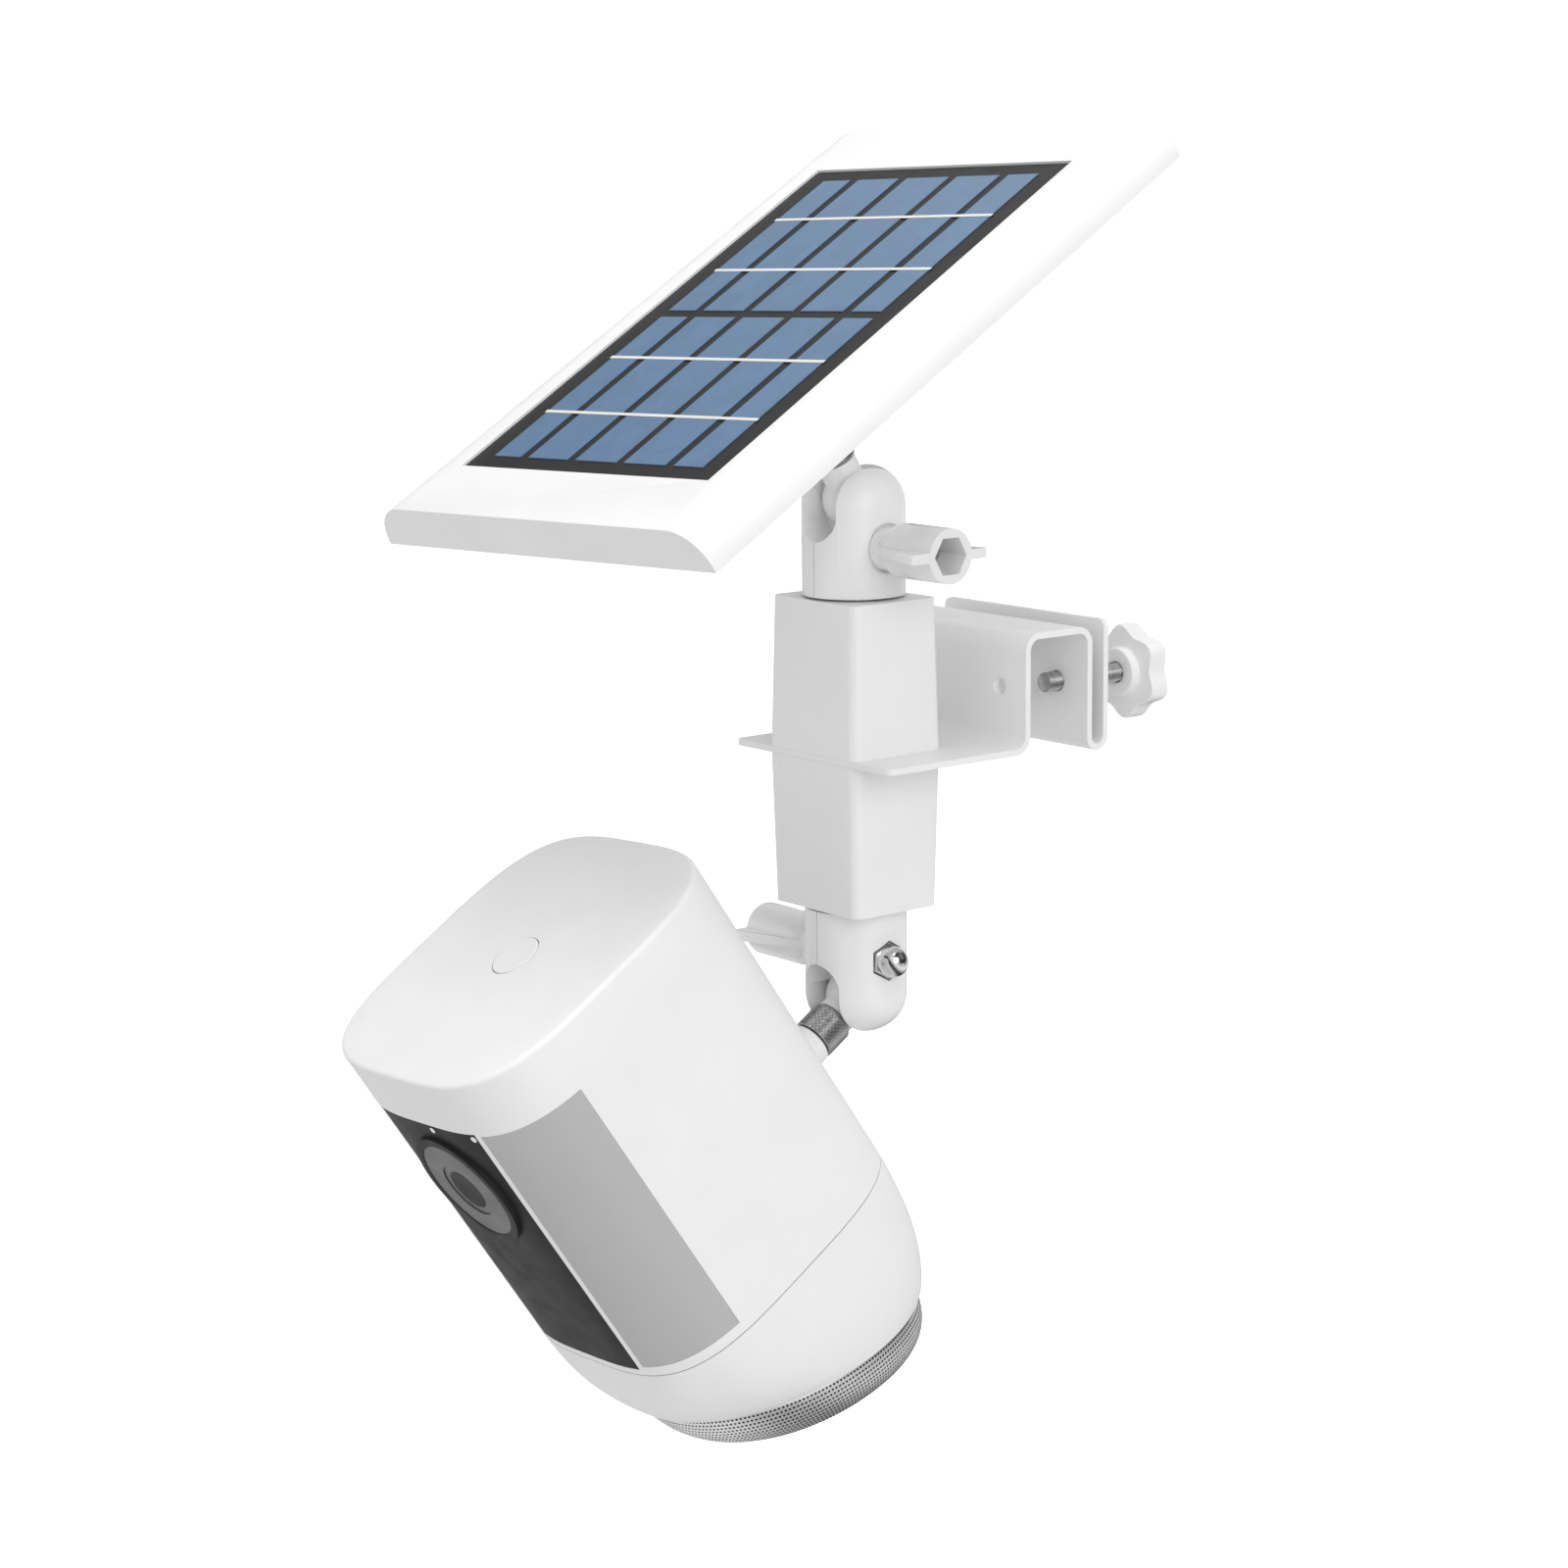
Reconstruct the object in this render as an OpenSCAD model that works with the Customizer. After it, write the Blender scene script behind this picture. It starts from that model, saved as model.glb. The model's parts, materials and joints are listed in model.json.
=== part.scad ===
// Solar-powered security camera on a gutter mount.
// Frame: origin on the underside of the channel roof, at its centre. +X runs along the gutter,
// +Y points to the house, -Y is the front, +Z is up. Millimetres.

/* [Gutter bracket] */
// Length of the bracket along the gutter
bracket_l = 58.5; // [55:0.5:80]
// Thickness of the bent sheet
sheet_t = 1.6; // [1.2:0.1:2]
// Width of the channel that drops over the gutter lip
channel_w = 19; // [16:1:24]
// Width of the slot behind the channel
slot_w = 3.8; // [3:0.1:5]
// Distance from the bracket's upright wall to the axis of the blocks
block_reach = 29.3; // [24:0.1:36]
// Height of the side screws below the channel roof
screw_drop = 13.1; // [9:0.1:15]
// Distance of each side screw from the middle
screw_x = 18.3; // [17:0.1:23]

/* [Blocks and ball joints] */
// Width of the blocks where they meet the plate
block_w = 33; // [28:0.1:36]
// Width of the blocks at their free ends
block_end_w = 31.6; // [26:0.1:34]
// Depth of the blocks where they meet the plate
block_d = 28.1; // [26:0.1:32]
// Depth of the blocks at their free ends
block_end_d = 26.3; // [25.6:0.1:30]
// Height of one block
block_h = 36.95; // [30:0.05:45]
// Radius of the round sockets
socket_r = 12.5; // [12:0.1:14]
// Radius of the balls
ball_r = 7.5; // [7:0.1:8]
// Half-width of the slot that a stem swings in
swing_r = 6.3; // [6:0.1:6.8]

/* [Solar panel] */
// Width of the panel
panel_w = 117; // [100:1:140]
// Length of the panel
panel_l = 169; // [150:1:200]
// Height of the panel's frame
panel_t = 10.4; // [9:0.1:12]
// Tilt of the panel from level, about X
panel_tilt = 30; // [0:1:55]
// Turn of the panel about its stem
panel_turn = 3.2; // [-20:0.1:20]

/* [Camera] */
// Width of the camera body
body_w = 78; // [74:1:84]
// Depth of the camera body
body_d = 82.6; // [80:0.1:90]
// Height of the housing above the battery cap
housing_h = 91; // [88:1:96]
// Angle of the lower stem from straight down, about X
camera_tilt = 57.2; // [15:0.1:75]
// Turn of the camera about its stem
camera_turn = 4; // [-20:0.1:20]
// Diameter of the setup button
button_d = 12; // [10:0.5:14]

/* [Hidden] */

white = [0.94, 0.94, 0.93];
steel = [0.70, 0.71, 0.72];
brass = [0.78, 0.62, 0.32];
black = [0.06, 0.06, 0.07];
board_green = [0.10, 0.32, 0.18];

$fn = 64;
hull_fn = 32;
eps = 0.01;
// Running clearance round a pin that turns or slides in its hole
run_gap = 0.07;
// Gap between faces of pieces that move past each other
face_gap = 0.3;

bend_in = 2.8;
bend_out = bend_in + sheet_t;
// Faces of the three upright walls, from the house side of the blocks outward
wall_1 = -channel_w/2 - sheet_t;
wall_2 = channel_w/2;
wall_3 = wall_2 + sheet_t + slot_w;
wall_3_top = 2.8;
plate_z = -26.95;
slot_floor = -29.45 + sheet_t;
block_y = wall_1 - block_reach;
plate_front = block_y - block_d/2;
corner_r = 2.2;

screw_r = 2.5;
screw_hole_r = screw_r + run_gap;
wall_hole_r = 2.1;
wall_hole_x = 20;
wall_hole_drop = 12;
// The screws stand 13 mm out of the house-side wall, with 4 mm showing in the channel
screw_tip = wall_2 - 4.4;
knob_face = wall_3 + sheet_t + 13.1;
knob_boss_h = 2.3;
knob_t = 5.6;
knob_r = 11.9;
knob_lobes = 6;
knob_dip = 2;

block_corner = 2.7;
washer_t = 0.7;
washer_r = 9;
socket_base = block_h + sheet_t/2 + 0.6;
ball_z = 61.25;
socket_top = ball_z + 8.25;
clamp_z = 50.3;
clamp_bore = screw_r + run_gap;
clamp_flat = 11.7;
nut_seat = 8.4;
stud_head_z = 41.3;
stem_r = 3;
upper_nut_start = 11.4;
lower_nut_start = 8.8;
nut_l = 7.8;
nut_r = 5.4;
panel_boss_start = upper_nut_start + nut_l + face_gap;
boss_start = lower_nut_start + nut_l + face_gap;
collar_r = 4.8;
upper_stem_end = 27;
lower_stem_end = 25;
insert_r = 4;
boss_r = 5.5;

panel_back = 41.7;
frame_wall = 2.4;
recess_w = 88;
recess_l = 132;
recess_d = 1.6;
cells_w = 74;
cells_l = 122;
cell_gap = 2.9;
cell_t = 0.25;
cover_t = 1.6;
side_cell_w = 9.7;
cell_w = (cells_w - 2*side_cell_w - 4*cell_gap)/3;
cell_l = (cells_l - cell_gap)/2;
box_w = 64;
box_l = 70;
box_h = 14;
gland_seat = box_l/2 + 0.5;
gland_z = 7;
box_top = panel_back - box_h;

wall = 2.4;
body_n = 3.6;
camera_back = 27.4;
boss_drop = 73.7;
window_w = 40.4;
window_top = 13.5;
window_h = 75;
light_in = 21.7;
light_side = 19.5;
light_top = 14;
light_h = 73.5;
pane_t = 2;
pane_gap = 0.15;
lens_drop = 34.8;
lens_r = 13.5;
bezel_r = 16.3;
bezel_out = 1.7;
cap_end = 123;
cap_slope = 0.2;
cap_inset = 4;
// The outline is rounder at the slanted end of the cap than along the body
end_n = 2.1;
grille_rim = 0.8;
speaker_y = -14;
grille_h = 13.5;
button_r = button_d/2;

// ---- helpers ----

function arc(cx, cy, r, a0, a1, n = 12) =
  [for (i = [0:n]) [cx + r*cos(a0 + (a1 - a0)*i/n), cy + r*sin(a0 + (a1 - a0)*i/n)]];

// Rounded-square outline: exponent 2 is an ellipse, larger exponents are squarer
function squircle(w, d, n, k = 64) =
  [for (i = [0:k - 1]) let (a = 360*(i + 0.5)/k, c = cos(a), s = sin(a))
    [w/2*sign(c)*pow(abs(c), 2/n), d/2*sign(s)*pow(abs(s), 2/n)]];

module tube(h, r, hole_r) {
  difference() {
    cylinder(h = h, r = r);
    translate([0, 0, -1]) cylinder(h = h + 2, r = hole_r);
  }
}

module rounded_plate(w, l, h, r) {
  linear_extrude(h) {
    square([w - 2*r, l], center = true);
    square([w, l - 2*r], center = true);
    for (x = [-1, 1], y = [-1, 1]) translate([x*(w/2 - r), y*(l/2 - r)]) circle(r);
  }
}

// Loft through a stack of outlines that all have the same number of points
module loft(rings) {
  k = len(rings[0]);
  m = len(rings);
  polyhedron(
    points = [for (ring = rings) for (p = ring) p],
    faces = concat(
      [[for (i = [0:k - 1]) i]],
      [[for (i = [k - 1:-1:0]) (m - 1)*k + i]],
      [for (j = [0:m - 2]) for (i = [0:k - 1])
        [j*k + i, (j + 1)*k + i, (j + 1)*k + (i + 1) % k, j*k + (i + 1) % k]]));
}

module at_joints() {
  translate([0, block_y, plate_z]) children();
}

module upper_side() {
  at_joints() children();
}

module lower_side() {
  at_joints() rotate([0, 180, 0]) children();
}

module upper_stem_frame() {
  at_joints() translate([0, 0, ball_z]) rotate([panel_tilt, 0, 0]) children();
}

module lower_stem_frame() {
  at_joints() translate([0, 0, -ball_z]) rotate([180 - camera_tilt, 0, 0]) children();
}

module panel_place() {
  upper_stem_frame() rotate([0, 0, panel_turn]) children();
}

// Camera frame: origin at the centre of the top face, +Z up the body, -Y out of the lens
module camera_place() {
  at_joints() translate([0, 0, -ball_z])
    rotate([90 - camera_tilt, 0, 0]) rotate([0, -camera_turn, 0])
      translate([0, -camera_back - body_d/2, boss_drop]) children();
}

// ---- gutter bracket ----

// Side view of the folded sheet, drawn in Y and Z: plate, wall 1, roof, wall 2, hairpin, wall 3
module sheet_profile() {
  y_a = wall_1 - bend_in;
  z_a = plate_z - sheet_t/2 + bend_out;
  y_b = wall_1 + bend_out;
  y_c = wall_2 - bend_in;
  y_h = wall_2 + sheet_t + slot_w/2;
  z_h = slot_floor + slot_w/2;
  polygon(concat(
    [[plate_front, plate_z - sheet_t/2]],
    arc(y_a, z_a, bend_out, 270, 360), arc(y_b, -bend_in, bend_in, 180, 90),
    arc(y_c, -bend_in, bend_in, 90, 0), arc(y_h, z_h, slot_w/2 + sheet_t, 180, 360, 20),
    [[wall_3 + sheet_t, wall_3_top], [wall_3, wall_3_top]],
    arc(y_h, z_h, slot_w/2, 360, 180, 20), arc(y_c, -bend_in, bend_out, 0, 90),
    arc(y_b, -bend_in, bend_out, 90, 180), arc(y_a, z_a, bend_in, 360, 270),
    [[plate_front, plate_z + sheet_t/2]]));
}

// What is cut off a square corner to round it
module corner_cut() {
  polygon(concat([[1, 1], [-corner_r, 1]], arc(-corner_r, -corner_r, corner_r, 90, 0, 6), [[1, -corner_r]]));
}

module gutter_bracket() {
  color(white) difference() {
    rotate([90, 0, 90]) linear_extrude(bracket_l, center = true) sheet_profile();
    for (x = [-1, 1]) {
      translate([x*wall_hole_x, wall_1 - 1, -wall_hole_drop]) rotate([-90, 0, 0])
        cylinder(h = sheet_t + 2, r = wall_hole_r);
      translate([x*screw_x, wall_2 - 1, -screw_drop]) rotate([-90, 0, 0])
        cylinder(h = wall_3 + sheet_t - wall_2 + 2, r = screw_hole_r);
      translate([x*bracket_l/2, plate_front, plate_z - sheet_t])
        linear_extrude(2*sheet_t) mirror([x < 0 ? 1 : 0, 0]) mirror([0, 1]) corner_cut();
      translate([x*bracket_l/2, wall_3 + sheet_t, wall_3_top]) rotate([90, 0, 0])
        linear_extrude(4*sheet_t, center = true) mirror([x < 0 ? 1 : 0, 0]) corner_cut();
    }
    translate([0, block_y, plate_z - sheet_t]) cylinder(h = 2*sheet_t, r = stem_r + run_gap);
  }
}

// ---- blocks ----

module block() {
  module outline(w, d, z) {
    translate([0, 0, z]) linear_extrude(eps)
      for (x = [-1, 1], y = [-1, 1])
        translate([x*(w/2 - block_corner), y*(d/2 - block_corner)]) circle(block_corner, $fn = hull_fn);
  }
  color(white) difference() {
    hull() {
      outline(block_w, block_d, sheet_t/2);
      outline(block_end_w, block_end_d, sheet_t/2 + block_h - eps);
    }
    translate([0, 0, -1]) cylinder(h = 17, r = stem_r + 0.05);
    translate([0, 0, block_h - 13]) cylinder(h = 16, r = screw_r + 0.05);
  }
}

module upper_block() { upper_side() block(); }
module lower_block() { lower_side() block(); }

module tie_stud() {
  color(steel) at_joints() translate([0, 0, -15]) cylinder(h = 30, r = stem_r);
}

// ---- ball joints, drawn for the upper one ----

module swivel_stud() {
  color(steel) {
    translate([0, 0, block_h - 12]) cylinder(h = 12, r = screw_r);
    translate([0, 0, block_h - eps]) cylinder(h = stud_head_z - block_h + 2*eps, r = screw_r);
    translate([0, 0, stud_head_z]) cylinder(h = 2.4, r = 6.5);
  }
}

module upper_swivel_stud() { upper_side() swivel_stud(); }
module lower_swivel_stud() { lower_side() swivel_stud(); }

module swivel_washer() {
  color(steel) translate([0, 0, block_h + sheet_t/2]) tube(washer_t, washer_r, screw_r + 0.1);
}

module upper_washer() { upper_side() swivel_washer(); }
module lower_washer() { lower_side() swivel_washer(); }

// Domed round body that the two halves are cut from
module socket_body() {
  dome_r = 9.5;
  rotate_extrude() polygon(concat([[0, socket_base], [socket_r, socket_base]],
    arc(socket_r - dome_r, socket_top - dome_r, dome_r, 0, 90, 9), [[0, socket_top]]));
}

// One half; side is 1 for the half that the wing knob bears on and -1 for the half that holds the nut
module socket_half(side) {
  seam = 0.12;
  reach = 20;
  slot_z = ball_z - 3.4;
  back_y = 5.6;
  color(white) difference() {
    socket_body();
    translate([side > 0 ? seam - reach : -seam, -reach, 0]) cube([reach, 2*reach, 80]);
    translate([0, 0, ball_z]) sphere(ball_r + 0.1);
    translate([-swing_r, -reach, slot_z]) cube([2*swing_r, reach, reach]);
    translate([-swing_r, -1, ball_z + 2]) cube([2*swing_r, back_y + 1, reach]);
    translate([0, -3.4, slot_z]) rotate([90, 0, 0]) cylinder(h = reach, r = swing_r);
    translate([0, 0, socket_base - 1]) cylinder(h = 1.4, r = washer_r + face_gap);
    translate([0, 0, socket_base - 1]) cylinder(h = 4, r = screw_r + run_gap);
    translate([0, 0, stud_head_z - 0.3]) cylinder(h = 3, r = 6.8);
    translate([-reach, 0, clamp_z]) rotate([0, 90, 0]) cylinder(h = 2*reach, r = clamp_bore);
    if (side > 0)
      translate([clamp_flat, 0, clamp_z]) rotate([0, 90, 0]) cylinder(h = 6, r = 6);
    else
      translate([-nut_seat, 0, clamp_z]) rotate([0, -90, 0]) cylinder(h = 6, r = 5.05, $fn = 6);
  }
}

module upper_socket_knob_half() { upper_side() socket_half(1); }
module upper_socket_nut_half() { upper_side() socket_half(-1); }
module lower_socket_knob_half() { lower_side() socket_half(1); }
module lower_socket_nut_half() { lower_side() socket_half(-1); }

module clamp_bolt() {
  head_x = 22.2;
  color(steel) translate([0, 0, clamp_z]) rotate([0, 90, 0]) {
    translate([0, 0, head_x]) rotate(30) cylinder(h = 3.5, r = 4.6, $fn = 6);
    translate([0, 0, -15]) cylinder(h = head_x + 15 + eps, r = screw_r);
  }
}

module upper_clamp_bolt() { upper_side() clamp_bolt(); }
module lower_clamp_bolt() { lower_side() clamp_bolt(); }

// Wing knob: a neck, a barrel with a hexagonal socket and two tapering wings
module wing_knob() {
  neck_x = 12;
  barrel_x = 17;
  end_x = 35;
  wing_span = 11.7;
  wing_t = 2.4;
  color(white) translate([0, 0, clamp_z]) difference() {
    union() {
      rotate([0, 90, 0]) rotate_extrude()
        polygon([[0, neck_x], [5.3, neck_x], [5.2, 15.4], [6.1, barrel_x], [6.6, barrel_x + 2],
                 [6.6, end_x], [0, end_x]]);
      translate([0, 0, -wing_t/2]) linear_extrude(wing_t)
        polygon([[14, -5], [14, 5], [end_x - 3, wing_span - 0.6], [end_x - 0.6, wing_span],
                 [end_x, wing_span - 0.8], [end_x, 0.8 - wing_span], [end_x - 0.6, -wing_span],
                 [end_x - 3, 0.6 - wing_span]]);
    }
    translate([22.1, 0, 0]) rotate([0, 90, 0]) rotate(30) cylinder(h = 15, r = 4.95, $fn = 6);
    translate([10, 0, 0]) rotate([0, 90, 0]) cylinder(h = 15, r = screw_r + 0.05);
  }
}

module upper_wing_knob() { upper_side() wing_knob(); }
module lower_wing_knob() { lower_side() wing_knob(); }

module acorn_nut() {
  start = nut_seat + face_gap;
  color(steel) translate([0, 0, clamp_z]) rotate([0, -90, 0]) difference() {
    union() {
      translate([0, 0, start]) intersection() {
        cylinder(h = 3.9, r = 4.6, $fn = 6);
        rotate_extrude() polygon([[0, 0], [4.7, 0], [4.7, 3.5], [4.3, 3.9], [0, 3.9]]);
      }
      translate([0, 0, start + 3.7]) cylinder(h = 1.4, r = 3.85);
      translate([0, 0, start + 5.1]) sphere(3.85);
    }
    translate([0, 0, start - 1]) cylinder(h = 7.6, r = screw_r + 0.05);
  }
}

module upper_acorn_nut() { upper_side() acorn_nut(); }
module lower_acorn_nut() { lower_side() acorn_nut(); }

// Ball, collar up to the lock nut and threaded stem
module ball_stem(start, end) {
  color(white) {
    sphere(ball_r);
    cylinder(h = start - face_gap, r = collar_r);
    cylinder(h = end, r = stem_r);
  }
}

module upper_ball_stem() { upper_stem_frame() ball_stem(upper_nut_start, upper_stem_end); }
module lower_ball_stem() { lower_stem_frame() ball_stem(lower_nut_start, lower_stem_end); }

module lock_nut(start) {
  color(steel) difference() {
    rotate_extrude() polygon([[0, start], [nut_r - 0.5, start], [nut_r, start + 0.5],
      [nut_r, start + nut_l], [0, start + nut_l]]);
    translate([0, 0, start - 1]) cylinder(h = nut_l + 2, r = stem_r + 0.05);
  }
}

module upper_lock_nut() { upper_stem_frame() lock_nut(upper_nut_start); }
module lower_lock_nut() { lower_stem_frame() lock_nut(lower_nut_start); }

// ---- side screws and star knobs ----

module side_screw(x) {
  color(steel) translate([x, 0, -screw_drop]) rotate([-90, 0, 0]) translate([0, 0, screw_tip]) {
    cylinder(h = 1, r1 = screw_r - 0.7, r2 = screw_r);
    translate([0, 0, 1 - eps]) cylinder(h = knob_face - screw_tip + 5.5, r = screw_r);
  }
}

module left_side_screw() { side_screw(-screw_x); }
module right_side_screw() { side_screw(screw_x); }

// Six smooth lobes
module star_outline() {
  polygon([for (a = [0:5:355])
    let (r = knob_r - knob_dip*(1 - cos(knob_lobes*a))/2) [r*cos(a), r*sin(a)]]);
}

module star_knob(x) {
  body_z = knob_face + knob_boss_h;
  color(white) translate([x, 0, -screw_drop]) rotate([-90, 0, 0]) difference() {
    union() {
      translate([0, 0, knob_face]) cylinder(h = knob_boss_h + eps, r = 6.2);
      translate([0, 0, body_z]) rotate(-35) linear_extrude(knob_t) star_outline();
    }
    translate([0, 0, knob_face - 1]) cylinder(h = 8, r = screw_r + 0.05);
  }
}

module left_star_knob() { star_knob(-screw_x); }
module right_star_knob() { star_knob(screw_x); }

// ---- solar panel, drawn with its back face at panel_back and its length along Y ----

module at_panel_screws() {
  for (x = [-1, 1], y = [-1, 0, 1]) translate([x*43.5, y*74, 0]) children();
}

module panel_frame() {
  r = panel_t;
  color(white) panel_place() translate([0, 0, panel_back]) difference() {
    rotate([90, 0, 0]) linear_extrude(panel_l, center = true) {
      translate([-panel_w/2 + r, 0]) square([panel_w - 2*r, r]);
      for (x = [-1, 1]) intersection() {
        translate([x*(panel_w/2 - r), 0]) circle(r);
        translate([-panel_w/2, 0]) square([panel_w, r]);
      }
    }
    translate([-recess_w/2, -recess_l/2, panel_t - recess_d]) cube([recess_w, recess_l, recess_d + 1]);
    translate([-recess_w/2 + 3, -recess_l/2 + 3, -1]) cube([recess_w - 6, recess_l - 6, panel_t]);
    difference() {
      translate([-recess_w/2 - 3, -panel_l/2 + frame_wall, -1])
        cube([recess_w + 6, panel_l - 2*frame_wall, panel_t - recess_d - frame_wall + 1]);
      at_panel_screws() translate([0, 0, cover_t]) cylinder(h = panel_t, r = 3);
    }
    at_panel_screws() translate([0, 0, cover_t - 1]) cylinder(h = 5.2, r = 1.25);
  }
}

module panel_back_cover() {
  color(white) panel_place() translate([0, 0, panel_back]) difference() {
    rounded_plate(recess_w + 5.6, panel_l - 2*frame_wall - 0.4, cover_t, 3);
    at_panel_screws() translate([0, 0, -1]) cylinder(h = 4, r = 1.3);
  }
}

module panel_screws() {
  color(steel) panel_place() translate([0, 0, panel_back]) at_panel_screws() {
    translate([0, 0, -1.2]) cylinder(h = 1.2, r = 2.4);
    translate([0, 0, -eps]) cylinder(h = 5, r = 1.2);
  }
}

module junction_box() {
  inner = 2;
  color(white) panel_place() difference() {
    union() {
      hull() {
        translate([0, 0, panel_back - 1]) rounded_plate(box_w, box_l, 1, 6, $fn = hull_fn);
        translate([0, 0, box_top]) rounded_plate(box_w - 10, box_l - 10, 1, 6, $fn = hull_fn);
      }
      translate([0, 0, panel_boss_start])
        cylinder(h = box_top - panel_boss_start + 1, r1 = boss_r + 0.6, r2 = boss_r + 4);
      translate([0, -gland_seat, box_top + gland_z]) rotate([-90, 0, 0]) cylinder(h = 8, r = 5.3);
    }
    translate([-box_w/2 + 8, -box_l/2 + 8, box_top + inner]) cube([box_w - 16, box_l - 16, box_h]);
    translate([0, 0, panel_boss_start - 1]) cylinder(h = 9.5, r = insert_r);
    translate([0, -gland_seat - 1, box_top + gland_z]) rotate([-90, 0, 0]) cylinder(h = 12, r = 3.2);
  }
}

module panel_insert() {
  color(brass) panel_place() translate([0, 0, panel_boss_start]) tube(8, insert_r - 0.02, stem_r + 0.05);
}

module panel_backing() {
  color(black) panel_place() translate([0, 0, panel_back + panel_t - recess_d])
    rounded_plate(recess_w - 0.4, recess_l - 0.4, recess_d - 0.6, 1);
}

// Five strips across, the two outer ones narrower, in two rows
module solar_cells() {
  step = cell_w + cell_gap;
  side_x = cells_w/2 - side_cell_w/2;
  color([0.30, 0.42, 0.55]) panel_place()
    translate([0, 0, panel_back + panel_t - 0.6 + eps]) linear_extrude(cell_t) for (row = [-1, 1])
      translate([0, row*(cell_l + cell_gap)/2]) {
        for (i = [-1:1]) translate([i*step, 0]) square([cell_w, cell_l], center = true);
        for (x = [-1, 1]) translate([x*side_x, 0]) square([side_cell_w, cell_l], center = true);
      }
}

module bus_ribbons() {
  color([0.88, 0.87, 0.84]) panel_place()
    translate([0, 0, panel_back + panel_t - 0.6 + cell_t + 2*eps]) linear_extrude(0.12)
      for (row = [-1, 1], k = [0.3, 0.69])
        translate([0, row*(cell_gap/2 + k*cell_l)]) square([cells_w + 1, 1], center = true);
}

module charge_board() {
  color(board_green) panel_place() translate([0, 14, box_top + 3.5]) {
    linear_extrude(1.6) square([36, 22], center = true);
    translate([-8, 0, 1.6]) linear_extrude(3) square([8, 8], center = true);
    translate([8, 2, 1.6]) linear_extrude(5) square([7, 12], center = true);
  }
}

module cable_gland() {
  color(black) panel_place() translate([0, -gland_seat, box_top + gland_z]) rotate([90, 0, 0]) {
    translate([0, 0, -9]) tube(9 + eps, 3.1, 1.8);
    tube(4, 5, 1.8);
  }
}

// ---- camera, drawn in the camera frame ----

module body_prism(inset, low, high) {
  translate([0, 0, low]) linear_extrude(high - low)
    polygon(squircle(body_w - 2*inset, body_d - 2*inset, body_n));
}

// Outline of the battery cap at a depth; t runs from 0 at the seam to 1 at its slanted end
function cap_ring(t, inset) =
  let (k = pow(t, 3.3), lean = pow(t, 1.5), shrink = 2*(cap_inset*k + inset),
       depth = housing_h + face_gap + (cap_end - housing_h - face_gap)*t)
  [for (p = squircle(body_w - shrink, body_d - shrink, body_n + (end_n - body_n)*lean))
    [p[0], p[1], -depth - cap_slope*lean*p[1]]];

// Outline of the grille, which leans with the cap's end and closes in as a shallow bowl
function grille_ring(a, inset) =
  let (shrink = cap_inset + grille_rim + 9*(1 - cos(a)) + inset, drop = grille_h*sin(a))
  [for (p = squircle(body_w - 2*shrink, body_d - 2*shrink, end_n))
    [p[0], p[1], -cap_end - drop - cap_slope*p[1]]];

module light_opening(side, grow) {
  x0 = light_in - grow;
  y0 = -light_side + grow;
  translate([side > 0 ? x0 : -x0 - 30, y0 - 40, -light_top - light_h - grow])
    cube([30, 40, light_h + 2*grow]);
}

module window_opening(grow) {
  translate([-window_w/2 - grow, -body_d, -window_top - window_h - grow])
    cube([window_w + 2*grow, body_d, window_h + 2*grow]);
}

module camera_housing() {
  color(white) camera_place() difference() {
    union() {
      body_prism(0, -housing_h, -1.2);
      body_prism(0.35, -1.21, -0.5);
      body_prism(1.1, -0.51, 0);
    }
    body_prism(wall, -housing_h - 1, -wall - 0.4);
    translate([0, 0, -4]) cylinder(h = 6, r = button_r + face_gap);
    intersection() {
      difference() {
        body_prism(-5, -housing_h + 0.5, -5);
        body_prism(wall + 3, -housing_h, 0);
      }
      union() {
        window_opening(0);
        for (side = [-1, 1]) light_opening(side, 0);
      }
    }
    translate([0, 0, -boss_drop]) rotate([-90, 0, 0]) cylinder(h = body_d, r = insert_r + 0.1);
    translate([0, 0, -boss_drop + 24]) rotate([-90, 0, 0]) cylinder(h = body_d, r = 4.1);
  }
}

// Boss on the back that the stem screws into
module mount_boss() {
  color(white) camera_place() translate([0, body_d/2 + 0.02, -boss_drop]) rotate([-90, 0, 0]) difference() {
    rotate_extrude() polygon(concat([[0, -0.2], [9.5, -0.2], [9.5, 0.6]],
      arc(9.5, 4.6, 4, 270, 180, 8), [[boss_r, camera_back - boss_start - 0.6],
      [boss_r - 0.6, camera_back - boss_start], [0, camera_back - boss_start]]));
    translate([0, 0, -1]) cylinder(h = 14, r = insert_r);
  }
}

module boss_insert() {
  color(brass) camera_place() translate([0, body_d/2, -boss_drop]) rotate([-90, 0, 0])
    tube(camera_back - boss_start, insert_r - 0.02, stem_r + 0.05);
}

module pane(inset) {
  difference() {
    body_prism(inset, -housing_h, 0);
    body_prism(inset + pane_t, -housing_h - 1, 1);
  }
}

module front_window() {
  color([0.13, 0.13, 0.14]) camera_place() difference() {
    intersection() {
      pane(0.1);
      window_opening(-pane_gap);
    }
    translate([0, 0, -lens_drop]) rotate([90, 0, 0]) cylinder(h = body_d, r = bezel_r + 0.1);
  }
}

module lens_bezel() {
  color(black) camera_place() translate([0, -body_d/2 + 0.1, -lens_drop]) rotate([90, 0, 0])
    rotate_extrude() polygon([[lens_r - 1.5, -4], [bezel_r, -4], [bezel_r, bezel_out - 0.3],
      [bezel_r - 0.3, bezel_out], [lens_r + 0.3, bezel_out], [lens_r + 0.1, bezel_out - 1],
      [lens_r + 0.1, bezel_out - 2.6], [lens_r - 1.5, bezel_out - 2.6]]);
}

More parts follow.
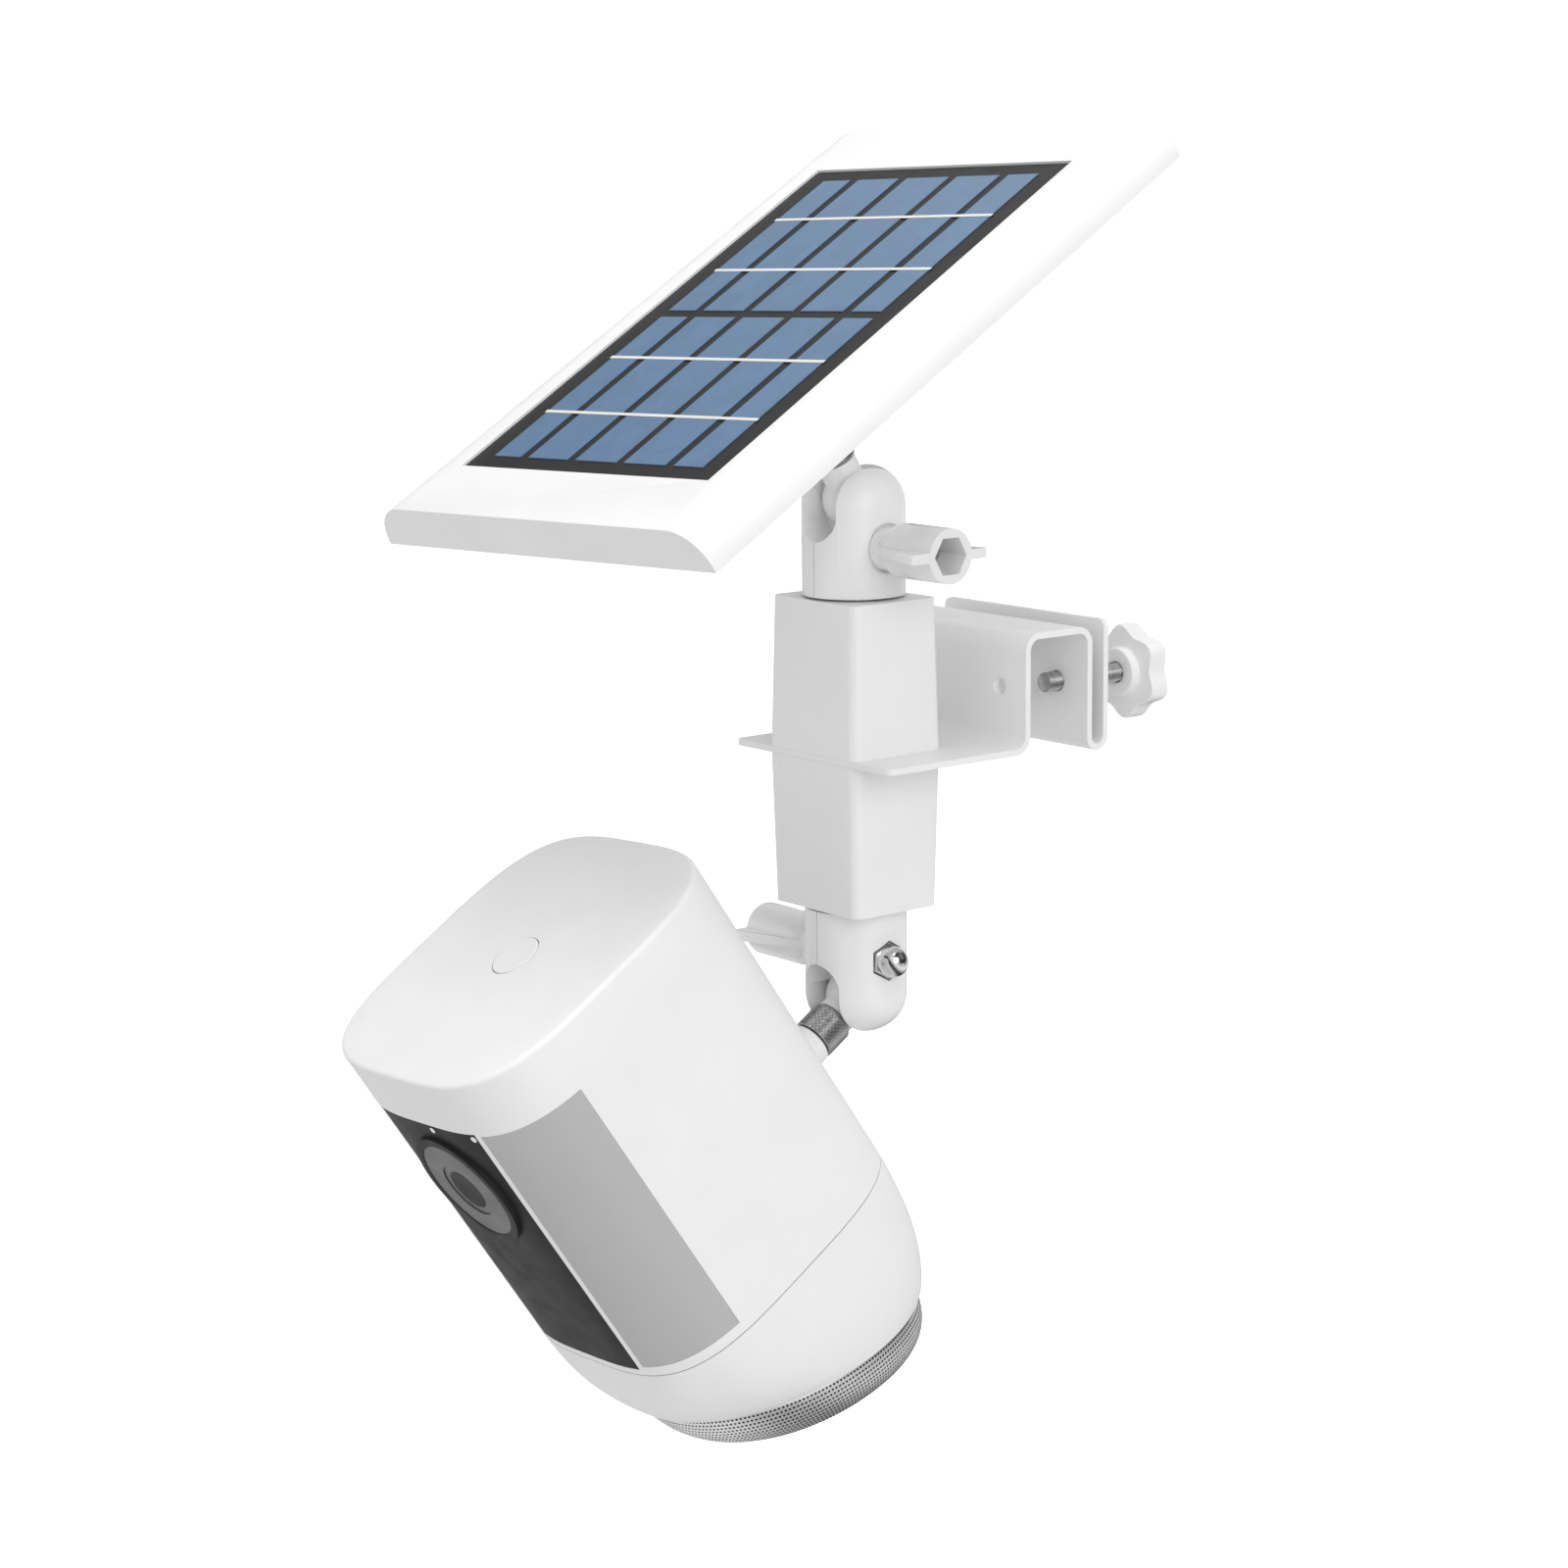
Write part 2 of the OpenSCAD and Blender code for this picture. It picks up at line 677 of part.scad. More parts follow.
module lens_glass() {
  color([0.45, 0.45, 0.45]) camera_place() translate([0, -body_d/2 + 0.1 - bezel_out + 2.55, -lens_drop])
    rotate([90, 0, 0]) cylinder(h = 1.6, r = lens_r);
}

module lens_barrel() {
  color(black) camera_place() translate([0, -body_d/2 + 1.2, -lens_drop]) rotate([90, 0, 0]) {
    translate([0, 0, -22]) cylinder(h = 12, r = 9);
    translate([0, 0, -10 - eps]) cylinder(h = 9, r = 7);
  }
}

module sensor_board() {
  color(board_green) camera_place() translate([0, -body_d/2 + 24.5, -lens_drop]) rotate([90, 0, 0])
    linear_extrude(1.2) square([30, 26], center = true);
}

module main_board() {
  color(board_green) camera_place() translate([0, -body_d/2 + 30, -46]) rotate([90, 0, 0]) {
    linear_extrude(1.6) square([58, 74], center = true);
    for (p = [[-12, 14, 12], [10, 10, 14], [-8, -14, 10], [14, -18, 8]])
      translate([p[0], p[1], 1.6]) linear_extrude(1.4) square(p[2], center = true);
  }
}

module light_diffuser(side) {
  color([0.73, 0.73, 0.73]) camera_place() intersection() {
    pane(0.1);
    light_opening(side, -pane_gap);
  }
}

module left_light_diffuser() { light_diffuser(-1); }
module right_light_diffuser() { light_diffuser(1); }

module led_board(side) {
  camera_place() translate([side*27, -24, -light_top - light_h/2]) rotate([0, 0, side*38]) {
    color(board_green) cube([12, 1.2, 62], center = true);
    color([0.95, 0.90, 0.55]) for (i = [-3:3]) translate([0, -1, i*8.4]) cube([3.5, 0.9, 3.5], center = true);
  }
}

module left_led_board() { led_board(-1); }
module right_led_board() { led_board(1); }

module motion_sensor() {
  color([0.60, 0.60, 0.60]) camera_place() translate([0, -body_d/2 + 3.5, -72]) rotate([90, 0, 0]) {
    translate([0, 0, -6]) cylinder(h = 4, r = 4.6);
    translate([0, 0, -2 - eps]) cylinder(h = 2.5, r = 8);
  }
}

// Two dots on the window, each square to its curved face
module status_lights() {
  inset = 0.1;
  w = body_w/2 - inset;
  d = body_d/2 - inset;
  color([0.95, 0.95, 0.95]) camera_place() for (x = [2.7, 19])
    let (fall = 1 - pow(x/w, body_n), slope = d/w*pow(x/w, body_n - 1)*pow(fall, 1/body_n - 1))
      translate([x, -d*pow(fall, 1/body_n), -window_top - 2.4]) rotate([90, 0, atan(slope)])
        translate([0, 0, 0.03]) cylinder(h = 0.2, r = 0.8);
}

module setup_button() {
  color(white) camera_place() {
    translate([0, 0, -4.9]) cylinder(h = 5.1, r = button_r);
    translate([0, 0, -4.9]) cylinder(h = 1.7, r = button_r + 1.4);
  }
}

// Pack that stands in the back half and slides out through the bottom
module battery_pack() {
  color(black) camera_place() translate([0, 20, -100]) {
    linear_extrude(82) {
      square([38, 24], center = true);
      for (x = [-1, 1]) translate([x*19, 0]) circle(12);
    }
  }
}

module battery_cap() {
  rings = 10;
  color(white) camera_place() difference() {
    loft([for (i = [rings:-1:0]) cap_ring(i/rings, 0)]);
    loft(concat([for (i = [rings:-1:1]) [for (p = cap_ring(i/rings, wall)) [p[0], p[1], p[2] + 2.2*i/rings]]],
      [[for (p = cap_ring(0, wall)) [p[0], p[1], p[2] + 1]]]));
    speaker_place() translate([0, 0, -2]) cylinder(h = 8, r = 14);
    translate([0, 0, -housing_h - 12]) rotate([-90, 0, 0]) cylinder(h = body_d, r = 1.3);
  }
}

// On the slanted end wall of the cap, facing down through the grille
module speaker_place() {
  translate([0, speaker_y, -cap_end - cap_slope*speaker_y]) rotate([-atan(cap_slope), 0, 0]) children();
}

module speaker_grille() {
  rings = 6;
  color([0.8, 0.8, 0.8]) camera_place() difference() {
    loft([for (i = [rings:-1:0]) grille_ring(90*i/rings, 0)]);
    loft(concat([for (i = [rings:-1:1]) [for (p = grille_ring(90*i/rings, 1.2)) [p[0], p[1], p[2] + 1.2]]],
      [[for (p = grille_ring(0, 1.2)) [p[0], p[1], p[2] + 2]]]));
  }
}

module speaker() {
  color(black) camera_place() speaker_place() {
    translate([0, 0, 0.8]) cylinder(h = 1.6, r = 13.6);
    translate([0, 0, 2.3]) cylinder(h = 1.4, r = 16);
    translate([0, 0, 3.7 - eps]) cylinder(h = 5, r = 8);
  }
}

module power_inlet() {
  color(black) camera_place() translate([0, body_d/2 + 0.6, -boss_drop + 24]) rotate([90, 0, 0])
    tube(9, 4, 1.6);
}

module cap_screw() {
  color(steel) camera_place() translate([0, body_d/2 + 0.8, -housing_h - 12]) rotate([90, 0, 0]) {
    cylinder(h = 1.2, r = 2.6);
    cylinder(h = 6, r = 1.25);
  }
}

gutter_bracket();
upper_block();
lower_block();
tie_stud();
upper_swivel_stud();
lower_swivel_stud();
upper_washer();
lower_washer();
upper_socket_knob_half();
upper_socket_nut_half();
lower_socket_knob_half();
lower_socket_nut_half();
upper_clamp_bolt();
lower_clamp_bolt();
upper_wing_knob();
lower_wing_knob();
upper_acorn_nut();
lower_acorn_nut();
upper_ball_stem();
lower_ball_stem();
upper_lock_nut();
lower_lock_nut();
left_side_screw();
right_side_screw();
left_star_knob();
right_star_knob();
panel_frame();
panel_back_cover();
junction_box();
panel_insert();
panel_backing();
solar_cells();
bus_ribbons();
charge_board();
cable_gland();
panel_screws();
camera_housing();
mount_boss();
boss_insert();
front_window();
lens_bezel();
lens_glass();
lens_barrel();
sensor_board();
main_board();
left_light_diffuser();
right_light_diffuser();
left_led_board();
right_led_board();
motion_sensor();
status_lights();
setup_button();
battery_pack();
battery_cap();
speaker();
speaker_grille();
power_inlet();
cap_screw();
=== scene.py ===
"""Solar-powered security camera on a gutter bracket: finishes, moulded shells and small hardware."""
import json
import math

import bmesh
import bpy
from bpy.props import FloatProperty, FloatVectorProperty, IntProperty, PointerProperty
from mathutils import Matrix, Vector

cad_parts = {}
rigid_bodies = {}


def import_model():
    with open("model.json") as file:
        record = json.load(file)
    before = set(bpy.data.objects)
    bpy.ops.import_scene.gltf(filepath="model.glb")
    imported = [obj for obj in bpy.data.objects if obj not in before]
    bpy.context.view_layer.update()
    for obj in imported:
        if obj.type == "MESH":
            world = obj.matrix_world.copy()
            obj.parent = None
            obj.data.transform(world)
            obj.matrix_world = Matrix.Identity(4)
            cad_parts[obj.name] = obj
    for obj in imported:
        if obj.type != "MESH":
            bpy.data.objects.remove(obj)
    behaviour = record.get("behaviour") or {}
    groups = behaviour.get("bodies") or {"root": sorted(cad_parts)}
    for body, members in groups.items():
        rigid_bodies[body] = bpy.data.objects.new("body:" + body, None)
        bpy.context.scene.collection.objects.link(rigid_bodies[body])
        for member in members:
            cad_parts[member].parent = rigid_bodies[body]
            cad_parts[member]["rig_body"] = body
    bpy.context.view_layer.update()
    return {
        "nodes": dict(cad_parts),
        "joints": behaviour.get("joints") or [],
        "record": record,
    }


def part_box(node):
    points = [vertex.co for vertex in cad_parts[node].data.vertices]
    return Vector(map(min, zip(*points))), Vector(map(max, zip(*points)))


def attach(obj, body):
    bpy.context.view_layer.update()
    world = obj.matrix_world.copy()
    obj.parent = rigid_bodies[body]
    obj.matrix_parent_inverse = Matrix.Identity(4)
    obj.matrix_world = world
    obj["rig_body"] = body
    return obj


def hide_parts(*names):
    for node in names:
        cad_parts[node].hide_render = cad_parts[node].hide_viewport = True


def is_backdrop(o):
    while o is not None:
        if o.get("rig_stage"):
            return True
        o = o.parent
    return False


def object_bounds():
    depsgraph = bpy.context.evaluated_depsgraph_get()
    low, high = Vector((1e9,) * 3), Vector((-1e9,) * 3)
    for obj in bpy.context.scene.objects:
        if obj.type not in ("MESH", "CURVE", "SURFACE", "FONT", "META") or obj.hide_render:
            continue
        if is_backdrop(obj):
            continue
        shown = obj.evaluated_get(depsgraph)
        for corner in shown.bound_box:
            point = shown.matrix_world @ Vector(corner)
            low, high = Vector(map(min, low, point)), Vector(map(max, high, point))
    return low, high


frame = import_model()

bl_info = {
    "name": "Solar Security Camera",
    "version": (1, 0, 0),
    "blender": (4, 5, 0),
    "location": "3D View > Sidebar > Solar Camera",
    "description": "Builds the finished pieces of a solar-powered security camera around its frame",
    "category": "Add Mesh",
}

MM = 0.001
NODES = frame["nodes"]
JOINTS = {joint["name"]: joint for joint in frame["joints"]}


# ---- places on the object ----

def basis(x, y, z, origin=(0, 0, 0)):
    """A matrix whose columns are three directions and a place."""
    matrix = Matrix((x, y, z)).transposed().to_4x4()
    matrix.translation = Vector(origin)
    return matrix


def extent(node, matrix):
    """Lowest and highest corner of a CAD node, measured in a frame of its own."""
    inverse = matrix.inverted()
    points = [inverse @ v.co for v in NODES[node].data.vertices]
    low = Vector([min(p[i] for p in points) for i in range(3)])
    high = Vector([max(p[i] for p in points) for i in range(3)])
    return low, high


def camera_frame():
    """Origin at the middle of the camera's top face, +Z up the body, -Y out of the lens."""
    z = -Vector(JOINTS["cap_pull"]["axis"])
    y = -Vector(JOINTS["camera_turn"]["axis"])
    turned = basis(y.cross(z), y, z)
    low, high = extent("camera_housing", turned)
    return basis(y.cross(z), y, z, turned @ Vector(((low.x + high.x)/2, (low.y + high.y)/2, high.z)))


def stem_frame(joint):
    """Origin at the ball, +Z along the stem, X across it."""
    x = Vector((1, 0, 0))
    z = Vector(JOINTS[joint]["axis"])
    return basis(x, z.cross(x), z, JOINTS[joint]["pos_m"])


PANEL_TURN = math.radians(3.2)
CAMERA = camera_frame()
UPPER_STEM = stem_frame("panel_turn")
LOWER_STEM = stem_frame("camera_turn")
PANEL = UPPER_STEM @ Matrix.Rotation(PANEL_TURN, 4, "Z")

HOUSING_LOW, HOUSING_HIGH = extent("camera_housing", CAMERA)
BODY_W = HOUSING_HIGH.x - HOUSING_LOW.x
BODY_D = HOUSING_HIGH.y - HOUSING_LOW.y
HOUSING_H = -HOUSING_LOW.z
BODY_N = 3.6            # squareness of the body's outline: 2 is an ellipse
WALL = 2.4*MM
BUTTON_HOLE_R = 6.25*MM
SEAM_LIP = 0.4*MM       # lowest band of the housing, next to the seam
PANE_INSET = 0.1*MM
PANE_T = 2*MM
END_N = 2.1             # squareness of the cap's slanted end
CAP_SLOPE = 0.265       # fall of the cap's end from front to back
CAP_GAP = 0.3*MM        # seam between the housing and the cap
CAP_EDGE = 0.8*MM       # rounding of the cap's end
GRILLE_T = 0.8*MM
GRILLE_ROWS = 17
# Lift above the grille sheet of the dark hole discs, which are painted shade.
GRILLE_R = 36*MM        # radius that sets the number of holes in a row
HOLE_SHADE_LIFT = 0.02*MM
KNURL_FILL = 0.62       # radius of one knurl as a share of the space between two
KNURL_SINK = 0.2*MM     # how far a knurl's foot sits inside the nut
KNURL_START = 1.0*MM    # first row from the lower end of the nut
KNURL_END = 0.4*MM      # last row from the upper end of the nut


# ---- settings ----

def size(name, text, default, low=0.0, high=0.1):
    """A length that a user may change."""
    return FloatProperty(name=name, description=text, default=default, min=low, max=high, unit="LENGTH")


def colour(name, text, default):
    """A colour that a user may change."""
    return FloatVectorProperty(name=name, description=text, default=default, size=3,
                               min=0, max=1, subtype="COLOR")


class CameraBodySettings(bpy.types.PropertyGroup):
    """Sizes of the moulded camera body."""

    window_w: size("Window width", "Width of the dark front window", 40.4*MM)
    window_top: size("Window top", "Distance from the top face to the window", 14.5*MM)
    window_h: size("Window height", "Height of the dark front window", 74.8*MM)
    light_in: size("Light inner edge", "Distance of each light from the middle", 21.7*MM)
    light_side: size("Light outer edge", "How far forward each light ends round the corner", 20.3*MM)
    light_top: size("Light top", "Distance from the top face to the lights", 15.1*MM)
    light_h: size("Light height", "Height of each light", 73.2*MM)
    edge_r: size("Top edge", "Rounding of the top edge", 1.2*MM)
    lens_drop: size("Lens drop", "Distance from the top face to the lens", 34.8*MM)
    seam: size("Seam", "Gap round each pane", 0.05*MM)


class CapSettings(bpy.types.PropertyGroup):
    """Sizes of the battery cap and the speaker grille."""

    end: size("Cap end", "Distance from the top face to the end of the cap", 124.2*MM, high=0.2)
    inset: size("Cap inset", "How far the wall closes in at the end", 4*MM)
    rim: size("Grille rim", "Step from the cap to the grille", 1.5*MM)
    bowl: size("Grille depth", "Depth of the grille below the cap", 14.2*MM)
    close: size("Grille closing", "How far the grille closes in", 10*MM)
    pitch: size("Hole pitch", "Distance between holes of the grille", 1.05*MM)
    # The grille's holes are drawn as dark discs of painted shade, one per hole.
    hole: size("Hole radius", "Radius of one hole of the grille", 0.34*MM)


class HardwareSettings(bpy.types.PropertyGroup):
    """Sizes of threads and knurls."""

    thread_pitch: size("Thread pitch", "Pitch of the side screws", 0.8*MM)
    thread_depth: size("Thread depth", "Depth of the side screws' thread", 0.38*MM)
    knurl_rows: IntProperty(name="Knurl rows", description="Rows of knurl along a lock nut",
                            default=11, min=4, max=30)
    knurl_count: IntProperty(name="Knurl count", description="Knurls round a lock nut",
                             default=36, min=12, max=90)
    knurl_h: size("Knurl height", "Height of one knurl", 0.42*MM)


class FinishSettings(bpy.types.PropertyGroup):
    """Colours of the finishes."""

    white: colour("White", "Powder coat and moulded plastic", (0.86, 0.86, 0.86))
    window: colour("Window", "Smoked window", (0.022, 0.022, 0.023))
    diffuser: colour("Diffuser", "Frosted light panes", (0.47, 0.47, 0.47))
    cell: colour("Cell", "Solar cells", (0.085, 0.175, 0.31))
    laminate: colour("Laminate", "Dark border of the solar panel", (0.012, 0.011, 0.010))
    ribbon: colour("Ribbon", "Bus ribbons", (0.78, 0.76, 0.72))
    steel: colour("Steel", "Plated hardware", (0.42, 0.42, 0.42))
    lens: colour("Lens", "Grey ring of the lens", (0.1, 0.1, 0.1))


class StageSettings(bpy.types.PropertyGroup):
    """The floor, the light and the view."""

    azimuth: FloatProperty(name="Azimuth", description="Direction of the view round the object",
                           default=math.radians(50.97), subtype="ANGLE")
    elevation: FloatProperty(name="Elevation", description="Height of the view above level",
                             default=math.radians(10.67), subtype="ANGLE")
    roll: FloatProperty(name="Roll", description="Roll of the view",
                        default=math.radians(-0.545), subtype="ANGLE")
    lens: FloatProperty(name="Lens", description="Focal length in millimetres",
                        default=79.67, min=20, max=200)
    distance: size("Distance", "Distance of the view from the blocks", 0.8425, high=5)
    right: size("Right", "Place of the blocks to the right of the middle", 17.21*MM, low=-1, high=1)
    up: size("Up", "Place of the blocks above the middle", 8.24*MM, low=-1, high=1)
    floor_drop: size("Floor", "Distance of the floor below the object", 0.30, high=2)


SETTINGS = {
    "body": CameraBodySettings,
    "cap": CapSettings,
    "hardware": HardwareSettings,
    "finish": FinishSettings,
    "stage": StageSettings,
}


def settings(name):
    """One group of settings, read from the scene."""
    return getattr(bpy.context.scene, "solar_camera_" + name)


# ---- finishes ----

def new_material(name, base, roughness, metallic=0.0):
    """An empty finish: its material, its node tree and its shader."""
    material = bpy.data.materials.new(name)
    material.use_nodes = True
    shader = material.node_tree.nodes["Principled BSDF"]
    shader.inputs["Base Color"].default_value = (*base, 1)
    shader.inputs["Roughness"].default_value = roughness
    shader.inputs["Metallic"].default_value = metallic
    return material, material.node_tree, shader


def object_coords(tree, turn=None, stretch=None):
    """Object coordinates, turned into a piece's own directions where one is given."""
    coords = tree.nodes.new("ShaderNodeTexCoord")
    if turn is None and stretch is None:
        return coords.outputs["Object"]
    mapping = tree.nodes.new("ShaderNodeMapping")
    mapping.vector_type = "TEXTURE"
    if turn is not None:
        mapping.inputs["Rotation"].default_value = turn.to_euler()
        mapping.inputs["Location"].default_value = turn.translation
    if stretch is not None:
        mapping.inputs["Scale"].default_value = stretch
    tree.links.new(coords.outputs["Object"], mapping.inputs["Vector"])
    return mapping.outputs["Vector"]


def noise(tree, vector, grain, detail=3.0):
    """Noise whose blobs are about one grain across."""
    texture = tree.nodes.new("ShaderNodeTexNoise")
    texture.inputs["Scale"].default_value = 1/grain
    texture.inputs["Detail"].default_value = detail
    tree.links.new(vector, texture.inputs["Vector"])
    return texture.outputs["Fac"]


def spread(tree, value, low, high):
    """Maps the middle of a noise onto a range."""
    node = tree.nodes.new("ShaderNodeMapRange")
    node.inputs["From Min"].default_value = 0.3
    node.inputs["From Max"].default_value = 0.7
    node.inputs["To Min"].default_value = low
    node.inputs["To Max"].default_value = high
    tree.links.new(value, node.inputs["Value"])
    return node.outputs["Result"]


def tone(tree, shader, value, base, amount):
    """Lightens and darkens a base colour a little along a noise."""
    mix = tree.nodes.new("ShaderNodeMix")
    mix.data_type = "RGBA"
    mix.inputs["A"].default_value = (*[c*(1 - amount) for c in base], 1)
    mix.inputs["B"].default_value = (*[min(1, c*(1 + amount)) for c in base], 1)
    tree.links.new(spread(tree, value, 0, 1), mix.inputs["Factor"])
    tree.links.new(mix.outputs["Result"], shader.inputs["Base Color"])


def bump(tree, shader, height, distance, strength=1.0):
    """Raises a surface by a height of its own."""
    node = tree.nodes.new("ShaderNodeBump")
    node.inputs["Distance"].default_value = distance
    node.inputs["Strength"].default_value = strength
    tree.links.new(height, node.inputs["Height"])
    tree.links.new(node.outputs["Normal"], shader.inputs["Normal"])


def moulded(name, base, roughness, grain, depth, shade=0.015, gloss=0.0, glow=0.0, sheen=0.5):
    """Moulded plastic or powder coat: fine grain, faint mottling and uneven sheen."""
    material, tree, shader = new_material(name, base, roughness)
    vector = object_coords(tree)
    fine = noise(tree, vector, grain)
    tone(tree, shader, noise(tree, vector, 0.02), base, shade)
    tree.links.new(spread(tree, noise(tree, vector, 0.006), roughness - 0.05, roughness + 0.05),
                   shader.inputs["Roughness"])
    bump(tree, shader, fine, depth, 0.35)
    shader.inputs["Specular IOR Level"].default_value = sheen
    shader.inputs["Coat Weight"].default_value = gloss
    shader.inputs["Coat Roughness"].default_value = 0.12
    if glow:
        shader.inputs["Subsurface Weight"].default_value = glow
        shader.inputs["Subsurface Radius"].default_value = (1, 1, 1)
        shader.inputs["Subsurface Scale"].default_value = 0.003
    return material


def metal(name, base, roughness, grain, depth, stretch=None, shade=0.12):
    """Plated or machined metal with fine grain or brushing."""
    material, tree, shader = new_material(name, base, roughness, 1.0)
    vector = object_coords(tree, stretch=stretch)
    fine = noise(tree, vector, grain, 4.0)
    tone(tree, shader, noise(tree, vector, grain*6), base, shade)
    tree.links.new(spread(tree, fine, roughness - 0.06, roughness + 0.1), shader.inputs["Roughness"])
    bump(tree, shader, fine, depth, 0.3)
    return material


def cell_silicon(name, base):
    """Blue silicon with fine silver fingers along the panel and faint crystal flakes."""
    pitch = 0.0011
    material, tree, shader = new_material(name, base, 0.28)
    vector = object_coords(tree, PANEL)
    flakes = tree.nodes.new("ShaderNodeTexVoronoi")
    flakes.inputs["Scale"].default_value = 160
    tree.links.new(vector, flakes.inputs["Vector"])
    flake_mix = tree.nodes.new("ShaderNodeMix")
    flake_mix.data_type = "RGBA"
    flake_mix.inputs["A"].default_value = (*[c*0.93 for c in base], 1)
    flake_mix.inputs["B"].default_value = (*[c*1.08 for c in base], 1)
    tree.links.new(flakes.outputs["Color"], flake_mix.inputs["Factor"])
    lines = tree.nodes.new("ShaderNodeTexWave")
    lines.wave_type = "BANDS"
    lines.bands_direction = "X"
    lines.inputs["Scale"].default_value = math.pi/(10*pitch)
    tree.links.new(vector, lines.inputs["Vector"])
    sharp = tree.nodes.new("ShaderNodeMapRange")
    sharp.inputs["From Min"].default_value = 0.82
    sharp.inputs["From Max"].default_value = 1.0
    sharp.inputs["To Max"].default_value = 0.30
    tree.links.new(lines.outputs["Fac"], sharp.inputs["Value"])
    finger_mix = tree.nodes.new("ShaderNodeMix")
    finger_mix.data_type = "RGBA"
    finger_mix.inputs["B"].default_value = (0.45, 0.55, 0.66, 1)
    tree.links.new(flake_mix.outputs["Result"], finger_mix.inputs["A"])
    tree.links.new(sharp.outputs["Result"], finger_mix.inputs["Factor"])
    tree.links.new(finger_mix.outputs["Result"], shader.inputs["Base Color"])
    bump(tree, shader, lines.outputs["Fac"], 0.00002, 0.3)
    shader.inputs["Coat Weight"].default_value = 0.2
    shader.inputs["Coat Roughness"].default_value = 0.15
    return material


def build_finishes():
    """Every finish of the object, by the name of its slot."""
    f = settings("finish")
    white = tuple(f.white)
    return {
        "white_sheet": moulded("powder_coat_white", white, 0.42, 0.0007, 0.00003, gloss=0.15),
        "white_shell": moulded("moulded_white", white, 0.46, 0.0004, 0.00002),
        "white_joint": moulded("satin_white", white, 0.38, 0.0009, 0.00002, gloss=0.1),
        "white_clear": moulded("nylon_white", white, 0.22, 0.002, 0.00002, gloss=0.5, glow=0.25),
        "zinc_steel": metal("zinc_plate", tuple(f.steel), 0.3, 0.0004, 0.00003),
        "bright_steel": metal("bright_plate", (0.72, 0.72, 0.72), 0.12, 0.003, 0.00001, shade=0.04),
        "brass": metal("machined_brass", (0.66, 0.45, 0.17), 0.3, 0.0004, 0.00002),
        "solar_glass": moulded("dark_laminate", tuple(f.laminate), 0.5, 0.0006, 0.00001, 0.05),
        "solar_cell": cell_silicon("blue_silicon", tuple(f.cell)),
        "ribbon": moulded("tinned_ribbon", tuple(f.ribbon), 0.35, 0.0006, 0.00002, 0.04),
        "board": moulded("solder_mask", (0.02, 0.11, 0.05), 0.35, 0.0008, 0.00002, 0.2, gloss=0.3),
        "black_plastic": moulded("black_moulded", (0.012, 0.012, 0.012), 0.45, 0.0004, 0.000005, 0.01,
                                 sheen=0.12),
        "window": moulded("smoked_window", tuple(f.window), 0.5, 0.003, 0.000001, 0.004, sheen=0.12),
        "lens_glass": moulded("lens_grey", tuple(f.lens), 0.4, 0.002, 0.000001, 0.03, sheen=0.4),
        "diffuser": moulded("frosted_pane", tuple(f.diffuser), 0.5, 0.0005, 0.00002, 0.015),
        "grille": metal("grille_sheet", (0.86, 0.86, 0.86), 0.5, 0.0006, 0.00001, shade=0.03),
        "white_dot": moulded("light_pipe", (0.9, 0.9, 0.9), 0.3, 0.0005, 0.00001),
        "sensor_dome": moulded("milky_dome", (0.5, 0.5, 0.5), 0.4, 0.0005, 0.00001, glow=0.2),
    }


FINISHES = {}


def finish_of(slot):
    """The finish of a slot."""
    if not FINISHES:
        FINISHES.update(build_finishes())
    return FINISHES[slot]


SLOT_OF = {part["node"]: part["material_slot"] for part in frame["record"]["subparts"]}


# ---- making pieces ----

def new_piece(name, verts, faces, matrix=None, smooth=True):
    """A mesh object at the origin, with its place in its mesh."""
    mesh = bpy.data.meshes.new(name)
    mesh.from_pydata([tuple(v) for v in verts], [], faces)
    if matrix is not None:
        mesh.transform(matrix)
    mesh.validate()
    if smooth:
        mesh.shade_smooth()
    piece = bpy.data.objects.new(name, mesh)
    bpy.context.scene.collection.objects.link(piece)
    return piece


def clean(piece):
    """Merges doubles and turns every face outwards."""
    bm = bmesh.new()
    bm.from_mesh(piece.data)
    bmesh.ops.remove_doubles(bm, verts=bm.verts, dist=1e-6)
    bmesh.ops.recalc_face_normals(bm, faces=bm.faces)
    bm.to_mesh(piece.data)
    bm.free()


def add_thickness(piece, thickness):
    """Gives a sheet a wall on its inner side."""
    modifier = piece.modifiers.new("Wall", "SOLIDIFY")
    modifier.thickness = thickness
    modifier.offset = -1
    modifier.use_even_offset = True


def add_bevel(piece, width, segments=2, angle=35):
    """Rounds the edges that are sharper than an angle."""
    modifier = piece.modifiers.new("Edges", "BEVEL")
    modifier.width = width
    modifier.segments = segments
    modifier.limit_method = "ANGLE"
    modifier.angle_limit = math.radians(angle)
    modifier.harden_normals = True
    modifier.miter_outer = "MITER_ARC"


def apply_all(piece):
    """Turns a piece with its modifiers into a plain mesh."""
    evaluated = piece.evaluated_get(bpy.context.evaluated_depsgraph_get())
    mesh = bpy.data.meshes.new_from_object(evaluated)
    old = piece.data
    piece.modifiers.clear()
    piece.data = mesh
    mesh.name = piece.name
    bpy.data.meshes.remove(old)


def dress(piece, body, slot, replaced=()):
    """Gives a piece its finish, its body and the CAD nodes that it stands for."""
    piece.data.materials.clear()
    piece.data.materials.append(finish_of(slot))
    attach(piece, body)
    if replaced:
        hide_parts(*replaced)


def body_of(node):
    """The body that a CAD node rides on."""
    return NODES[node]["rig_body"]


